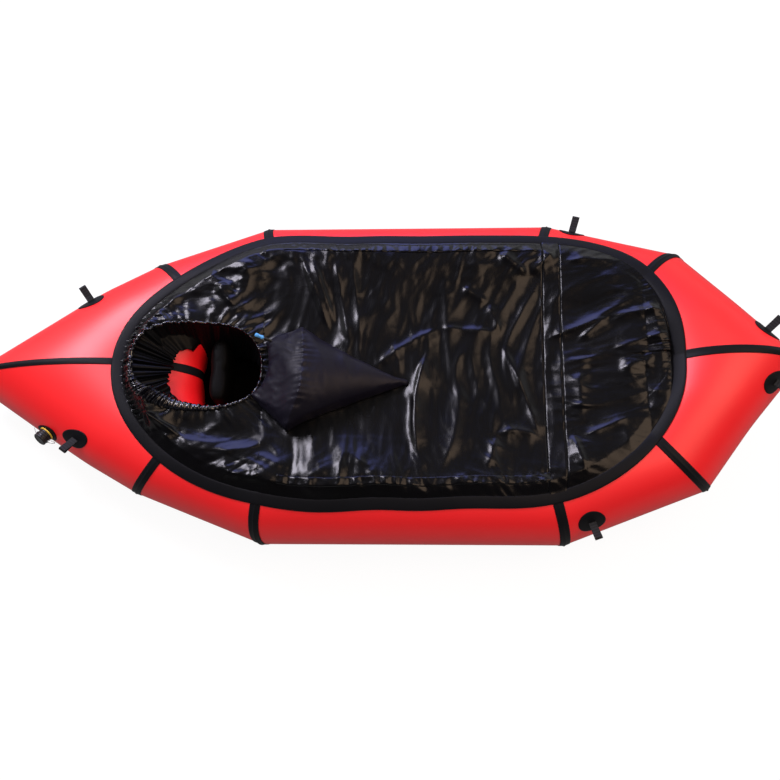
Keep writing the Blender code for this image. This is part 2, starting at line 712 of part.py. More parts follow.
def deck_height(x, y):
    """Return the deck's underside: on the tubes, slack between them, and raised round the opening."""
    crest, crest_height = crest_y(x)
    out = abs(y)
    if out >= crest:
        return HULL.height_over(x, out, DECK_LIFT)
    across = out / crest
    ahead = (x - DECK_REAR_X) / (DECK_FRONT_X - DECK_REAR_X)
    slack = DECK_SAG * math.sin(math.pi * min(max(ahead, 0.0), 1.0)) ** DECK_SLACK_POWER
    rear_fade = min(max((OPENING_FRONT_X - x) / OPENING_LIFT_REACH, 0.0), 1.0)
    away = max(opening_distance(x, y), 0.0) / OPENING_LIFT_REACH
    lift = OPENING_RIM_LIFT * rear_fade * math.exp(-(away**2)) * (1.0 - across**4)
    height = crest_height - slack * (1.0 - across**2) + lift
    over_tube = HULL.height_over(x, out, DECK_LIFT)
    return height if over_tube is None else max(height, over_tube)


def deck_row(x, inner_y):
    """Return a row of the left half deck at x, from an inner y out to the tape."""
    half_width, edge_height = deck_edge(x)
    crest, _ = crest_y(x)
    inner_crest = max(crest, inner_y + (half_width - inner_y) / 4)
    between = inner_crest - inner_y
    ys = [inner_y + between * step / DECK_SLACK_COLUMNS for step in range(DECK_SLACK_COLUMNS)]
    on_tube = half_width - inner_crest
    ys += [inner_crest + on_tube * step / DECK_TUBE_COLUMNS for step in range(DECK_TUBE_COLUMNS)]
    return [np.array((x, y, deck_height(x, y))) for y in ys] + [np.array((x, half_width, edge_height))]


def opening_xs():
    """Return the places of the opening's rim points along it, closer together at its round ends."""
    middle = (OPENING_REAR_X + OPENING_FRONT_X) / 2
    reach = (OPENING_FRONT_X - OPENING_REAR_X) / 2
    turns = [math.pi * (1.0 - step / OPENING_ROWS) for step in range(OPENING_ROWS + 1)]
    forward = [math.cos(turn) for turn in turns]
    return [middle + reach * math.copysign(abs(ahead) ** (2 / OPENING_POWER), ahead) for ahead in forward]


def half_deck(name, rows, group, thickness=DECK_THICKNESS):
    """Add a deck piece from its left half, mirrored and given its thickness."""
    item = place(name, sheet_mesh(name, rows, facing=UP), "deck_fabric", group)
    mirror_half(item)
    solidify(item, thickness, 1.0, even=False)


def edge_xs(low, high):
    """Return the places of the deck edge's corners between two places along the deck."""
    margin = DECK_ROW_MARGIN
    return [x for x in DECK_EDGE[:, 0] if low + margin < x < high - margin]


def deck(group):
    """Add the deck round the cockpit, the front deck, the strip between them and the side strips."""
    strip_front = CROSS_STRIP_X + CROSS_STRIP_WIDTH
    behind = edge_xs(DECK_STERN_X, OPENING_REAR_X)
    ahead = edge_xs(OPENING_FRONT_X, CROSS_STRIP_X - GAP)
    rows = [deck_row(x, 0.0) for x in behind]
    rows += [deck_row(x, opening_half_width(x)) for x in opening_xs()]
    rows += [deck_row(x, 0.0) for x in ahead + [CROSS_STRIP_X - GAP]]
    half_deck("deck_main", rows, group)
    strip_xs = [CROSS_STRIP_X] + edge_xs(CROSS_STRIP_X, strip_front) + [strip_front]
    half_deck("deck_cross_strip", [deck_row(x, 0.0) for x in strip_xs], group, CROSS_STRIP_THICKNESS)
    front_xs = [strip_front + GAP] + edge_xs(strip_front, DECK_FRONT_X - DECK_TIP_MARGIN)
    half_deck("deck_front", [deck_row(x, 0.0) for x in front_xs], group)
    side_strips(group)


def side_strips(group):
    """Add the closing strip that lies on the deck along each side."""
    rows = []
    front_x = CROSS_STRIP_X - SHEET_CLEARANCE
    for step in range(SIDE_STRIP_ROWS + 1):
        x = SIDE_STRIP_REAR_X + (front_x - SIDE_STRIP_REAR_X) * step / SIDE_STRIP_ROWS
        outer = deck_edge(x)[0] - SIDE_STRIP_INSET
        row = []
        for y in (outer, outer - SIDE_STRIP_WIDTH / 2, outer - SIDE_STRIP_WIDTH):
            height = deck_height(x, y) + DECK_THICKNESS + GAP + SHEET_CLEARANCE
            row.append(np.array((x, y, height)))
        rows.append(row)
    sheet_pair("deck_side_strip", rows, "tape", group, SIDE_STRIP_THICKNESS, 1.0, facing=UP)


def cockpit_hem(group):
    """Add the elastic hem that lies inside the rim of the opening."""
    middle = (OPENING_REAR_X + OPENING_FRONT_X) / 2
    rim = [np.array((x, opening_half_width(x), 0.0)) for x in opening_xs()]
    rim += [point * MIRROR for point in rim[-2:0:-1]]
    hem_offset = HEM_RADIUS + 2 * GAP
    path = []
    for before, point, after in zip(rim[-1:] + rim[:-1], rim, rim[1:] + rim[:1]):
        along = after - before
        inward = np.array((along[1], -along[0], 0.0))
        inward *= hem_offset / np.linalg.norm(inward) / math.cos(math.pi / len(rim))
        if inward @ (np.array((middle, 0.0, 0.0)) - point) < 0:
            inward = -inward
        place_on_rim = point + inward
        place_on_rim[2] = deck_height(point[0], point[1]) + DECK_THICKNESS / 2
        path.append(place_on_rim)
    curve = bpy.data.curves.new("cockpit_hem", "CURVE")
    curve.dimensions = "3D"
    curve.bevel_depth = HEM_RADIUS
    curve.bevel_resolution = 2
    spline = curve.splines.new("POLY")
    spline.points.add(len(path) - 1)
    for target, point in zip(spline.points, path):
        target.co = (*point, 1.0)
    spline.use_cyclic_u = True
    item = bpy.data.objects.new("cockpit_hem", curve)
    group.objects.link(item)
    curve.materials.append(material("deck_fabric", "cockpit_hem"))


def bladder_section(x):
    """Return the half width, height and side shift of the peak bladder at x."""
    if x < BLADDER_RIDGE_X:
        share = (x - BLADDER_REAR_X) / BLADDER_REAR_LENGTH
        shift = BLADDER_REAR_SHIFT + (BLADDER_RIDGE_SHIFT - BLADDER_REAR_SHIFT) * share
        half_width = BLADDER_REAR_HALF_WIDTH + (BLADDER_RIDGE_HALF_WIDTH - BLADDER_REAR_HALF_WIDTH) * share
        risen = math.sin(share * math.pi / 2)
        height = BLADDER_REAR_HEIGHT + (BLADDER_RIDGE_HEIGHT - BLADDER_REAR_HEIGHT) * risen
    else:
        share = (x - BLADDER_RIDGE_X) / BLADDER_FRONT_LENGTH
        shift = BLADDER_RIDGE_SHIFT
        narrow = share**BLADDER_NARROWING_POWER
        half_width = BLADDER_RIDGE_HALF_WIDTH + (BLADDER_TIP_HALF_WIDTH - BLADDER_RIDGE_HALF_WIDTH) * narrow
        fallen = share**BLADDER_FALL_POWER
        height = BLADDER_RIDGE_HEIGHT + (BLADDER_TIP_HEIGHT - BLADDER_RIDGE_HEIGHT) * fallen
    return half_width, height, shift


def bladder_point(x, side_share, rise_share):
    """Return a point of the bladder: side share from -1 to 1, rise share from its base to its top."""
    half_width, height, shift = bladder_section(x)
    y = shift + side_share * half_width
    base = deck_height(x, y) + DECK_THICKNESS + GAP + SHEET_CLEARANCE
    return np.array((x, y, base + rise_share * height))


def peak_bladder(group):
    """Add the wedge-shaped bladder and, on its rear face, its oral tube and push valve."""
    rear_step = BLADDER_REAR_LENGTH / BLADDER_REAR_SECTIONS
    front_step = BLADDER_FRONT_LENGTH / BLADDER_FRONT_SECTIONS
    xs = [BLADDER_REAR_X + rear_step * step for step in range(BLADDER_REAR_SECTIONS)]
    xs += [BLADDER_RIDGE_X + front_step * step for step in range(BLADDER_FRONT_SECTIONS + 1)]
    rings = []
    for x in xs:
        ring = []
        for step in range(BLADDER_ARCH_POINTS):
            turn = math.pi * step / (BLADDER_ARCH_POINTS - 1)
            ring.append(bladder_point(x, math.cos(turn), math.sin(turn) ** BLADDER_ARCH_POWER))
        for step in range(1, BLADDER_BASE_POINTS):
            ring.append(bladder_point(x, -1.0 + 2.0 * step / BLADDER_BASE_POINTS, 0.0))
        rings.append(ring)
    place("peak_bladder", loft_mesh("peak_bladder", rings, BLADDER_SHARP_DEG), "bladder_fabric", group)
    oral_valve(group)


def oral_valve_frame():
    """Return the root and direction of the oral tube on the bladder's rear face."""
    x = BLADDER_REAR_X + ORAL_TUBE_SECTION_SHARE * BLADDER_REAR_LENGTH
    turn = math.acos(ORAL_TUBE_SIDE_SHARE)
    root = bladder_point(x, ORAL_TUBE_SIDE_SHARE, math.sin(turn) ** BLADDER_ARCH_POWER)
    step = ORAL_TUBE_PROBE_SHARE * BLADDER_REAR_LENGTH
    turn_step = math.radians(ORAL_TUBE_PROBE_DEG)
    ahead = bladder_point(x + step, ORAL_TUBE_SIDE_SHARE, math.sin(turn) ** BLADDER_ARCH_POWER) - root
    higher = turn + turn_step
    over = bladder_point(x, math.cos(higher), math.sin(higher) ** BLADDER_ARCH_POWER) - root
    normal = np.cross(over, ahead)
    normal /= np.linalg.norm(normal)
    if normal[0] > 0:
        normal = -normal
    direction = normal * np.array((1.0, ORAL_TUBE_LEVEL_SHARE, ORAL_TUBE_LEVEL_SHARE))
    direction /= np.linalg.norm(direction)
    facing = direction @ normal
    clear = (ORAL_TUBE_RADIUS * math.sqrt(1.0 - facing**2) + SHEET_CLEARANCE) / facing
    return root + direction * clear, direction


def turned_mesh(name, profile, steps=TURNED_STEPS):
    """Return a solid of revolution about Z from a profile of (radius, height) points, top to bottom."""
    mesh = bpy.data.meshes.new(name)
    shape = bmesh.new()
    corners = [shape.verts.new((radius, 0.0, height)) for radius, height in profile]
    pairs = zip(zip(corners, profile), zip(corners[1:], profile[1:]))
    edges = [shape.edges.new((a, b)) for (a, low), (b, high) in pairs if low[0] or high[0]]
    if profile[0][0] > 0 and profile[-1][0] > 0:
        edges.append(shape.edges.new((corners[-1], corners[0])))
    bmesh.ops.spin(
        shape,
        geom=corners + edges,
        cent=(0.0, 0.0, 0.0),
        axis=(0.0, 0.0, 1.0),
        angle=2 * math.pi,
        steps=steps,
        use_merge=True,
    )
    bmesh.ops.remove_doubles(shape, verts=shape.verts, dist=TURNED_JOIN)
    bmesh.ops.recalc_face_normals(shape, faces=shape.faces)
    shape.to_mesh(mesh)
    shape.free()
    mesh.shade_smooth()
    mesh.set_sharp_from_angle(angle=math.radians(TURNED_SHARP_DEG))
    return mesh


def axis_matrix(point, direction, side):
    """Return the matrix that puts Z along a direction and X along a side at a point."""
    z_axis = Vector(direction).normalized()
    y_axis = z_axis.cross(Vector(side)).normalized()
    x_axis = y_axis.cross(z_axis)
    matrix = Matrix((x_axis, y_axis, z_axis)).transposed().to_4x4()
    matrix.translation = Vector(point)
    return matrix


def oral_valve(group):
    """Add the bladder's oral tube and the blue mouthpiece that is pushed in to open it."""
    root, direction = oral_valve_frame()
    matrix = axis_matrix(root, direction, UP)
    tube = turned_mesh(
        "oral_tube",
        [
            (0.0, ORAL_TUBE_LENGTH - ORAL_TUBE_BORE_DEPTH),
            (ORAL_TUBE_BORE_RADIUS, ORAL_TUBE_LENGTH - ORAL_TUBE_BORE_DEPTH),
            (ORAL_TUBE_BORE_RADIUS, ORAL_TUBE_LENGTH),
            (ORAL_TUBE_RADIUS, ORAL_TUBE_LENGTH),
            (ORAL_TUBE_RADIUS, 0.0),
            (0.0, 0.0),
        ],
        ORAL_TUBE_STEPS,
    )
    place("oral_tube", tube, "black_plastic", group, matrix=matrix)
    low = MOUTHPIECE_TRAVEL + GAP
    neck = ORAL_TUBE_BORE_RADIUS - GAP
    profile = [
        (0.0, MOUTHPIECE_LENGTH),
        *((MOUTHPIECE_RADIUS * out, MOUTHPIECE_LENGTH * up) for out, up in MOUTHPIECE_PROFILE_SHARES),
        (MOUTHPIECE_RADIUS, low),
        (neck, low),
        (neck, -MOUTHPIECE_NECK_LENGTH),
        (0.0, -MOUTHPIECE_NECK_LENGTH),
    ]
    tip = root + direction * ORAL_TUBE_LENGTH
    holder = hinge_empty("mouthpiece_slide", group, tip)
    place("mouthpiece", turned_mesh("mouthpiece", profile, MOUTHPIECE_STEPS), "blue_plastic", group, holder,
          axis_matrix((0.0, 0.0, 0.0), direction, UP))


def cushion_ring(half_width, height, channels):
    """Return (side, rise) points round one cross-section of a cushion that lies flat on its base."""
    ring = []
    for step in range(CUSHION_POINTS):
        turn = 2 * math.pi * step / CUSHION_POINTS
        across = math.copysign(abs(math.cos(turn)) ** CUSHION_SIDE_POWER, math.cos(turn))
        if math.sin(turn) >= 0:
            dips = sum(math.exp(-(((across - middle) / CHANNEL_WIDTH_SHARE) ** 2)) for middle in channels)
            crown = 1.0 - CUSHION_CROWN_SHARE * across**2
            swell = math.sin(turn) ** CUSHION_SIDE_POWER * crown * (1.0 - CHANNEL_DEPTH_SHARE * dips)
            rise = height / 2 * (1.0 + swell)
        else:
            hollow = abs(math.sin(turn)) ** CUSHION_BASE_POWER * CUSHION_BASE_SHARE
            rise = height / 2 * (1.0 - min(hollow, 1.0))
        ring.append((across * half_width, rise))
    return ring


def cushion_ends(share):
    """Return how far a section of a cushion is drawn in, by its share of the length."""
    full = math.sqrt(max(1.0 - abs(2.0 * share - 1.0) ** CUSHION_END_POWER, 0.0))
    return full * (1.0 - CUSHION_END_SHARE) + CUSHION_END_SHARE


def seat_half_width(share):
    """Return the seat's half width at a share of its length: narrower between the stern tubes."""
    taper = max(1.0 - share / SEAT_TAPER_SHARE, 0.0) ** SEAT_TAPER_POWER
    return SEAT_HALF_WIDTH * (1.0 - (1.0 - SEAT_REAR_WIDTH_SHARE) * taper)


def floor_top():
    """Return the height of the flat floor's upper face."""
    return floor_row(REAR_SIDE)[1][2] + FLOOR_CLEARANCE + FLOOR_THICKNESS


def section_shares():
    """Return the places of a cushion's sections along it, closer together at its ends."""
    return [0.5 - 0.5 * math.cos(math.pi * step / CUSHION_SECTIONS) for step in range(CUSHION_SECTIONS + 1)]


def seat(group):
    """Add the inflated seat cushion with its two long channels."""
    rings = []
    base = floor_top() + GAP
    for share in section_shares():
        drawn = cushion_ends(share)
        ring = cushion_ring(seat_half_width(share) * drawn, SEAT_HEIGHT * drawn,
                            (-CHANNEL_PLACE_SHARE, CHANNEL_PLACE_SHARE))
        lift = base + SEAT_HEIGHT * (1.0 - drawn) / 2
        rings.append([(SEAT_REAR_X + share * SEAT_LENGTH, side, lift + rise) for side, rise in ring])
    place("seat_cushion", loft_mesh("seat_cushion", rings, CUSHION_SHARP_DEG), "floor_fabric", group)


def seat_top(x):
    """Return the height of the seat's highest line at x, straight between its sections."""
    tops = [SEAT_HEIGHT * (1.0 + cushion_ends(share)) / 2 for share in section_shares()]
    return floor_top() + GAP + float(np.interp((x - SEAT_REAR_X) / SEAT_LENGTH, section_shares(), tops))


def backrest_hinge():
    """Return the middle of the fabric hinge along the backrest's lower front edge."""
    standing_x = BACKREST_REAR_X + BACKREST_DEPTH / 2
    return np.array((BACKREST_REAR_X + BACKREST_DEPTH, 0.0, seat_top(standing_x) + GAP))


def backrest(group):
    """Add the inflated backrest, which folds forward about its lower front edge."""
    hinge = backrest_hinge()
    holder = hinge_empty("backrest_hinge", group, hinge)
    rings = []
    for share in section_shares():
        drawn = cushion_ends(share)
        ring = cushion_ring(BACKREST_HALF_WIDTH * drawn, BACKREST_DEPTH * drawn, (0.0,))
        back = BACKREST_DEPTH * (1.0 - drawn) / 2 - BACKREST_DEPTH
        rings.append([(back + rise, side, share * BACKREST_HEIGHT) for side, rise in ring])
    place("backrest", loft_mesh("backrest", rings, CUSHION_SHARP_DEG), "floor_fabric", group, holder)


def fitting_frame(fitting):
    """Return the point on the left tube at a fitting, its normal and the unit direction along the tube."""
    angle = math.radians(fitting.angle_deg)
    along, _ = HULL.slopes(fitting.station, angle)
    along /= np.linalg.norm(along)
    return HULL.point(fitting.station, angle), HULL.normal(fitting.station, angle), along


def disc_mesh(name, fitting, radius, lift):
    """Return an open round sheet that follows the left tube round a fitting."""
    angle = math.radians(fitting.angle_deg)
    along, around = HULL.slopes(fitting.station, angle)
    shape = bmesh.new()
    bmesh.ops.create_circle(shape, cap_ends=True, cap_tris=True, segments=PATCH_SIDES, radius=radius)
    spokes = [edge for edge in shape.edges if any(vert.co.length < radius / 2 for vert in edge.verts)]
    bmesh.ops.subdivide_edges(shape, edges=spokes, cuts=PATCH_RINGS - 1)
    bmesh.ops.triangulate(shape, faces=shape.faces)
    for vert in shape.verts:
        station = fitting.station + vert.co.x / np.linalg.norm(along)
        turn = angle + vert.co.y / np.linalg.norm(around)
        vert.co = Vector(HULL.lifted(station, turn, lift))
    normal = Vector(HULL.normal(fitting.station, angle))
    shape.normal_update()
    inward = [face for face in shape.faces if face.normal.dot(normal) < 0]
    bmesh.ops.reverse_faces(shape, faces=inward)
    mesh = bpy.data.meshes.new(name)
    shape.to_mesh(mesh)
    shape.free()
    return mesh


def loop_profile():
    """Return the outer side of a folded webbing strap as (across, out) points, open at its root."""
    eye_height = LOOP_LENGTH - LOOP_EYE_RADIUS
    points = [(LOOP_ROOT_HALF_GAP, -LOOP_ROOT_REACH), (LOOP_ROOT_HALF_GAP, LOOP_LENGTH * LOOP_NECK_SHARE)]
    start = math.radians(LOOP_EYE_START_DEG)
    sweep = math.pi - 2 * start
    for step in range(LOOP_EYE_STEPS + 1):
        turn = start + sweep * step / LOOP_EYE_STEPS
        points.append((LOOP_EYE_RADIUS * math.cos(turn), eye_height + LOOP_EYE_RADIUS * math.sin(turn)))
    points += [(-LOOP_ROOT_HALF_GAP, LOOP_LENGTH * LOOP_NECK_SHARE), (-LOOP_ROOT_HALF_GAP, -LOOP_ROOT_REACH)]
    return points


def loop_mesh(name):
    """Return a doubled strap that stands along Z, with an eye at its end and its width along X."""
    rows = [[(side * LOOP_WIDTH / 2, across, out) for across, out in loop_profile()] for side in (-1.0, 1.0)]
    return sheet_mesh(name, rows)


def loop_frame(fitting, side):
    """Return the hinge point, the hinge's axis and the rest direction of a loop on one side."""
    point, normal, along = fitting_frame(fitting)
    root = point + normal * (PATCH_LIFT + PATCH_THICKNESS + LOOP_ROOT_CLEARANCE)
    droop = math.radians(LOOP_DROOP_DEG)
    down = np.cross(along, normal)
    down = down if down[2] < 0 else -down
    direction = math.cos(droop) * normal + math.sin(droop) * down
    if side < 0:
        return root * MIRROR, along * MIRROR, direction * MIRROR
    return root, along, direction


def lashing_points(group):
    """Add three round patches on each side, each with a webbing loop that swings."""
    for name, fitting in LOOP_FITTINGS.items():
        left = disc_mesh("patch_" + name, fitting, PATCH_RADIUS, PATCH_LIFT)
        for side in (1, -1):
            patch_name = side_name("patch_" + name, side)
            mesh = left if side > 0 else mirrored_mesh(left, patch_name)
            solidify(place(patch_name, mesh, "tape", group), PATCH_THICKNESS, 1.0)
            root, axis, direction = loop_frame(fitting, side)
            loop_name = side_name("loop_" + name, side)
            holder = hinge_empty(loop_name + "_hinge", group, root)
            item = place(loop_name, loop_mesh(loop_name), "webbing", group, holder,
                         axis_matrix((0.0, 0.0, 0.0), direction, axis))
            solidify(item, LOOP_THICKNESS, 0.0)


def valve_frame():
    """Return the point, the outward direction and the direction along the tube of the main valve."""
    point, normal, along = fitting_frame(VALVE_FITTING)
    return point * MIRROR, normal * MIRROR, along * MIRROR


def main_valve(group):
    """Add the main valve on the right of the stern: flange, ring, body, tethered collar and screw cap."""
    flange = disc_mesh("valve_flange", VALVE_FITTING, VALVE_FLANGE_RADIUS, PATCH_LIFT)
    flange = mirrored_mesh(flange, "valve_flange")
    solidify(place("valve_flange", flange, "tape", group), PATCH_THICKNESS, 1.0)
    point, normal, along = valve_frame()
    base = point + normal * (PATCH_LIFT + PATCH_THICKNESS + GAP)
    body_low = VALVE_RING_HEIGHT + GAP
    body_high = body_low + VALVE_BODY_HEIGHT
    ring_profile = [
        (VALVE_RING_RADIUS - VALVE_RING_HEIGHT / 3, VALVE_RING_HEIGHT),
        (VALVE_RING_RADIUS, VALVE_RING_HEIGHT * 2 / 3),
        (VALVE_RING_RADIUS, 0.0),
        (VALVE_BORE_RADIUS, 0.0),
        (VALVE_BORE_RADIUS, VALVE_RING_HEIGHT),
    ]
    body_profile = [
        (VALVE_BORE_RADIUS, body_high),
        *(
            (VALVE_BODY_RADIUS * out, body_high - VALVE_BODY_HEIGHT * down)
            for out, down in VALVE_BODY_PROFILE_SHARES
        ),
        (VALVE_BODY_RADIUS, body_low),
        (0.0, body_low),
        (0.0, body_high - VALVE_BORE_DEPTH),
        (VALVE_BORE_RADIUS, body_high - VALVE_BORE_DEPTH),
    ]
    matrix = axis_matrix(base, normal, along)
    place("valve_ring", turned_mesh("valve_ring", ring_profile), "yellow_plastic", group, matrix=matrix)
    place("valve_body", turned_mesh("valve_body", body_profile), "black_plastic", group, matrix=matrix)
    collar_low = body_high + GAP
    cap_low = collar_low + VALVE_COLLAR_HEIGHT + GAP
    holder = hinge_empty("valve_lift", group, base)
    local = axis_matrix((0.0, 0.0, 0.0), normal, along)
    place("valve_collar", collar_mesh(collar_low), "black_plastic", group, holder, local)
    plug_radius = VALVE_BORE_RADIUS - VALVE_PLUG_CLEARANCE
    cap_high = cap_low + VALVE_CAP_HEIGHT
    cap_profile = [
        (0.0, cap_high),
        (VALVE_CAP_RADIUS * VALVE_CAP_TOP_SHARE, cap_high),
        *(
            (VALVE_CAP_RADIUS - VALVE_CAP_GROOVE * deep, cap_high - VALVE_CAP_HEIGHT * down)
            for deep, down in VALVE_CAP_PROFILE_SHARES
        ),
        (VALVE_CAP_RADIUS, cap_low),
        (plug_radius, cap_low),
        (plug_radius, cap_low - VALVE_PLUG_LENGTH),
        (0.0, cap_low - VALVE_PLUG_LENGTH),
    ]
    turner = hinge_empty("valve_turn", group, (0.0, 0.0, 0.0))
    turner.parent = holder
    place("valve_cap", turned_mesh("valve_cap", cap_profile), "black_plastic", group, turner, local)


def collar_mesh(low):
    """Return the tether's collar: a flat ring with a tab on each side, cut from one outline."""
    high = low + VALVE_COLLAR_HEIGHT
    tab_half = math.asin(VALVE_TAB_WIDTH / 2 / VALVE_COLLAR_RADIUS)
    outline = []
    for centre_turn in (0.0, math.pi):
        for step in (-1.0, 1.0):
            turn = centre_turn + step * tab_half
            reach = VALVE_COLLAR_RADIUS + VALVE_TAB_LENGTH
            outline.append((VALVE_COLLAR_RADIUS * math.cos(turn), VALVE_COLLAR_RADIUS * math.sin(turn)))
            tip = (math.copysign(reach, math.cos(turn)), VALVE_COLLAR_RADIUS * math.sin(turn))
            outline.insert(len(outline) if step < 0 else len(outline) - 1, tip)
        start, end = centre_turn + tab_half, centre_turn + math.pi - tab_half
        for step in range(1, COLLAR_ARC_STEPS):
            turn = start + (end - start) * step / COLLAR_ARC_STEPS
            outline.append((VALVE_COLLAR_RADIUS * math.cos(turn), VALVE_COLLAR_RADIUS * math.sin(turn)))
    curve = bpy.data.curves.new("valve_collar_outline", "CURVE")
    curve.dimensions = "2D"
    curve.fill_mode = "BOTH"
    curve.extrude = (high - low) / 2
    hole = [
        (VALVE_COLLAR_HOLE_RADIUS * math.cos(turn), VALVE_COLLAR_HOLE_RADIUS * math.sin(turn))
        for turn in (2 * math.pi * step / TURNED_STEPS for step in range(TURNED_STEPS))
    ]
    for points in (outline, hole):
        spline = curve.splines.new("POLY")
        spline.points.add(len(points) - 1)
        for target, point in zip(spline.points, points):
            target.co = (*point, 0.0, 1.0)
        spline.use_cyclic_u = True
    source = bpy.data.objects.new("valve_collar_source", curve)
    bpy.context.scene.collection.objects.link(source)
    depsgraph = bpy.context.evaluated_depsgraph_get()
    mesh = bpy.data.meshes.new_from_object(source.evaluated_get(depsgraph))
    mesh.name = "valve_collar"
    bpy.data.objects.remove(source, do_unlink=True)
    shape = bmesh.new()
    shape.from_mesh(mesh)
    bmesh.ops.remove_doubles(shape, verts=shape.verts, dist=TURNED_JOIN)
    bmesh.ops.translate(shape, vec=(0.0, 0.0, (low + high) / 2), verts=shape.verts)
    bmesh.ops.recalc_face_normals(shape, faces=shape.faces)
    shape.to_mesh(mesh)
    shape.free()
    return mesh


def build():
    """Model the whole packraft."""
    clear_scene()
    group = collection("packraft")
    hull_panels(group)
    seam_tapes(group)
    floor(group)
    deck_tape(group)
    deck(group)
    cockpit_hem(group)
    peak_bladder(group)
    seat(group)
    backrest(group)
    lashing_points(group)
    main_valve(group)


build()
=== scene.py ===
"""Looks of a one-person packraft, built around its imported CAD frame.

Metres, +Z up, +X to the bow, +Y to the left side, as in the frame.
"""

import logging
import math
from collections.abc import Callable, Sequence
from dataclasses import dataclass, field
from enum import Enum

import bmesh
import bpy
import numpy as np
from mathutils import Matrix, Vector
from mathutils.kdtree import KDTree


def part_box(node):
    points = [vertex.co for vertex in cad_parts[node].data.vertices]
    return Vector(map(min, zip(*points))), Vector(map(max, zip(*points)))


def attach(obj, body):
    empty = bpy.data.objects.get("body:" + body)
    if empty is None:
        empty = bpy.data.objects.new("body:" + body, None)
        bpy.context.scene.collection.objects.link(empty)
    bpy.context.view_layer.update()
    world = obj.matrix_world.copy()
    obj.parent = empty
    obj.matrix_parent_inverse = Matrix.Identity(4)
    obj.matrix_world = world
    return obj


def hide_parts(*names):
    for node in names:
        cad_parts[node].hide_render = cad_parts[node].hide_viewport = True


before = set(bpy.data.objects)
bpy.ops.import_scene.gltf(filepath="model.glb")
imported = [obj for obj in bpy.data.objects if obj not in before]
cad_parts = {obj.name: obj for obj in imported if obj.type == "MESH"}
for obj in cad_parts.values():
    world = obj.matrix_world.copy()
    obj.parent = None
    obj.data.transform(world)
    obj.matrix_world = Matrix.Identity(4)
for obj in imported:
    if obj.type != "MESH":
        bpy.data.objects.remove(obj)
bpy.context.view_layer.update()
LOG = logging.getLogger("packraft")
UP = np.array((0.0, 0.0, 1.0))
MIRROR = np.array((1.0, -1.0, 1.0))
Array = np.ndarray
Pair = tuple[Array, Array]
Triple = tuple[Array, Array, Array]
Surface = Callable[[Array, Array], Pair]
# a wave texture of scale 1 has this many bands in one unit
WAVE_BANDS = 20.0
# edges that lie nearer than this are one edge
JOIN = 0.00002
# stuck-on cloth patches: their clearance over the tube and their thickness
PATCH_LIFT = 0.0009
PATCH_WALL = 0.0009


class Slot(Enum):
    """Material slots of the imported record."""

    HULL = "hull_fabric"
    TAPE = "tape"
    DECK = "deck_fabric"
    BLADDER = "bladder_fabric"
    FLOOR = "floor_fabric"
    WEBBING = "webbing"
    BLACK = "black_plastic"
    BLUE = "blue_plastic"
    YELLOW = "yellow_plastic"


class Side(Enum):
    """The boat's two sides, with the sign of Y."""

    LEFT = 1
    RIGHT = -1

    @property
    def word(self) -> str:
        """The side's name in a piece's name."""
        return self.name.lower()


class Hold(Enum):
    """How a sheet is held."""

    STRETCHED = "stretched"
    HUNG = "hung"


def linear(colour: str) -> tuple[float, float, float, float]:
    """Turn an sRGB hex colour to linear light.

    Args:
        colour: a hash and six hex digits.

    Returns:
        Linear red, green and blue, and an alpha of 1.
    """
    shares = [int(colour[place : place + 2], 16) / 255 for place in (1, 3, 5)]
    parts = [share / 12.92 if share <= 0.04045 else ((share + 0.055) / 1.055) ** 2.4 for share in shares]
    return (*parts, 1.0)


def per_metre(millimetres: float) -> float:
    """Return the texture scale of a pattern that repeats every so many millimetres."""
    return 1000.0 / millimetres


def add_node(
    tree: bpy.types.NodeTree, kind: str, values: dict | None = None, links: dict | None = None,
    **settings: object
) -> bpy.types.Node:
    """Add a node with its settings, its input values and its links.

    Args:
        tree: the node tree it goes into.
        kind: the node's type name.
        values: input values by input name or number.
        links: output sockets by the name or number of the input they feed.
        **settings: properties of the node.

    Returns:
        The new node.
    """
    node = tree.nodes.new(kind)
    for name, value in settings.items():
        setattr(node, name, value)
    for name, value in (values or {}).items():
        node.inputs[name].default_value = value
    for name, socket in (links or {}).items():
        tree.links.new(socket, node.inputs[name])
    return node


def blank_material(name: str) -> tuple[bpy.types.Material, bpy.types.NodeTree, bpy.types.Node]:
    """Make a material with nothing but its Principled shader and output.

    Args:
        name: the material's name.

    Returns:
        The material, its tree and its shader.
    """
    made = bpy.data.materials.new(name)
    made.use_nodes = True
    tree = made.node_tree
    tree.nodes.clear()
    shader = add_node(tree, "ShaderNodeBsdfPrincipled")
    add_node(tree, "ShaderNodeOutputMaterial", links={"Surface": shader.outputs["BSDF"]})
    return made, tree, shader


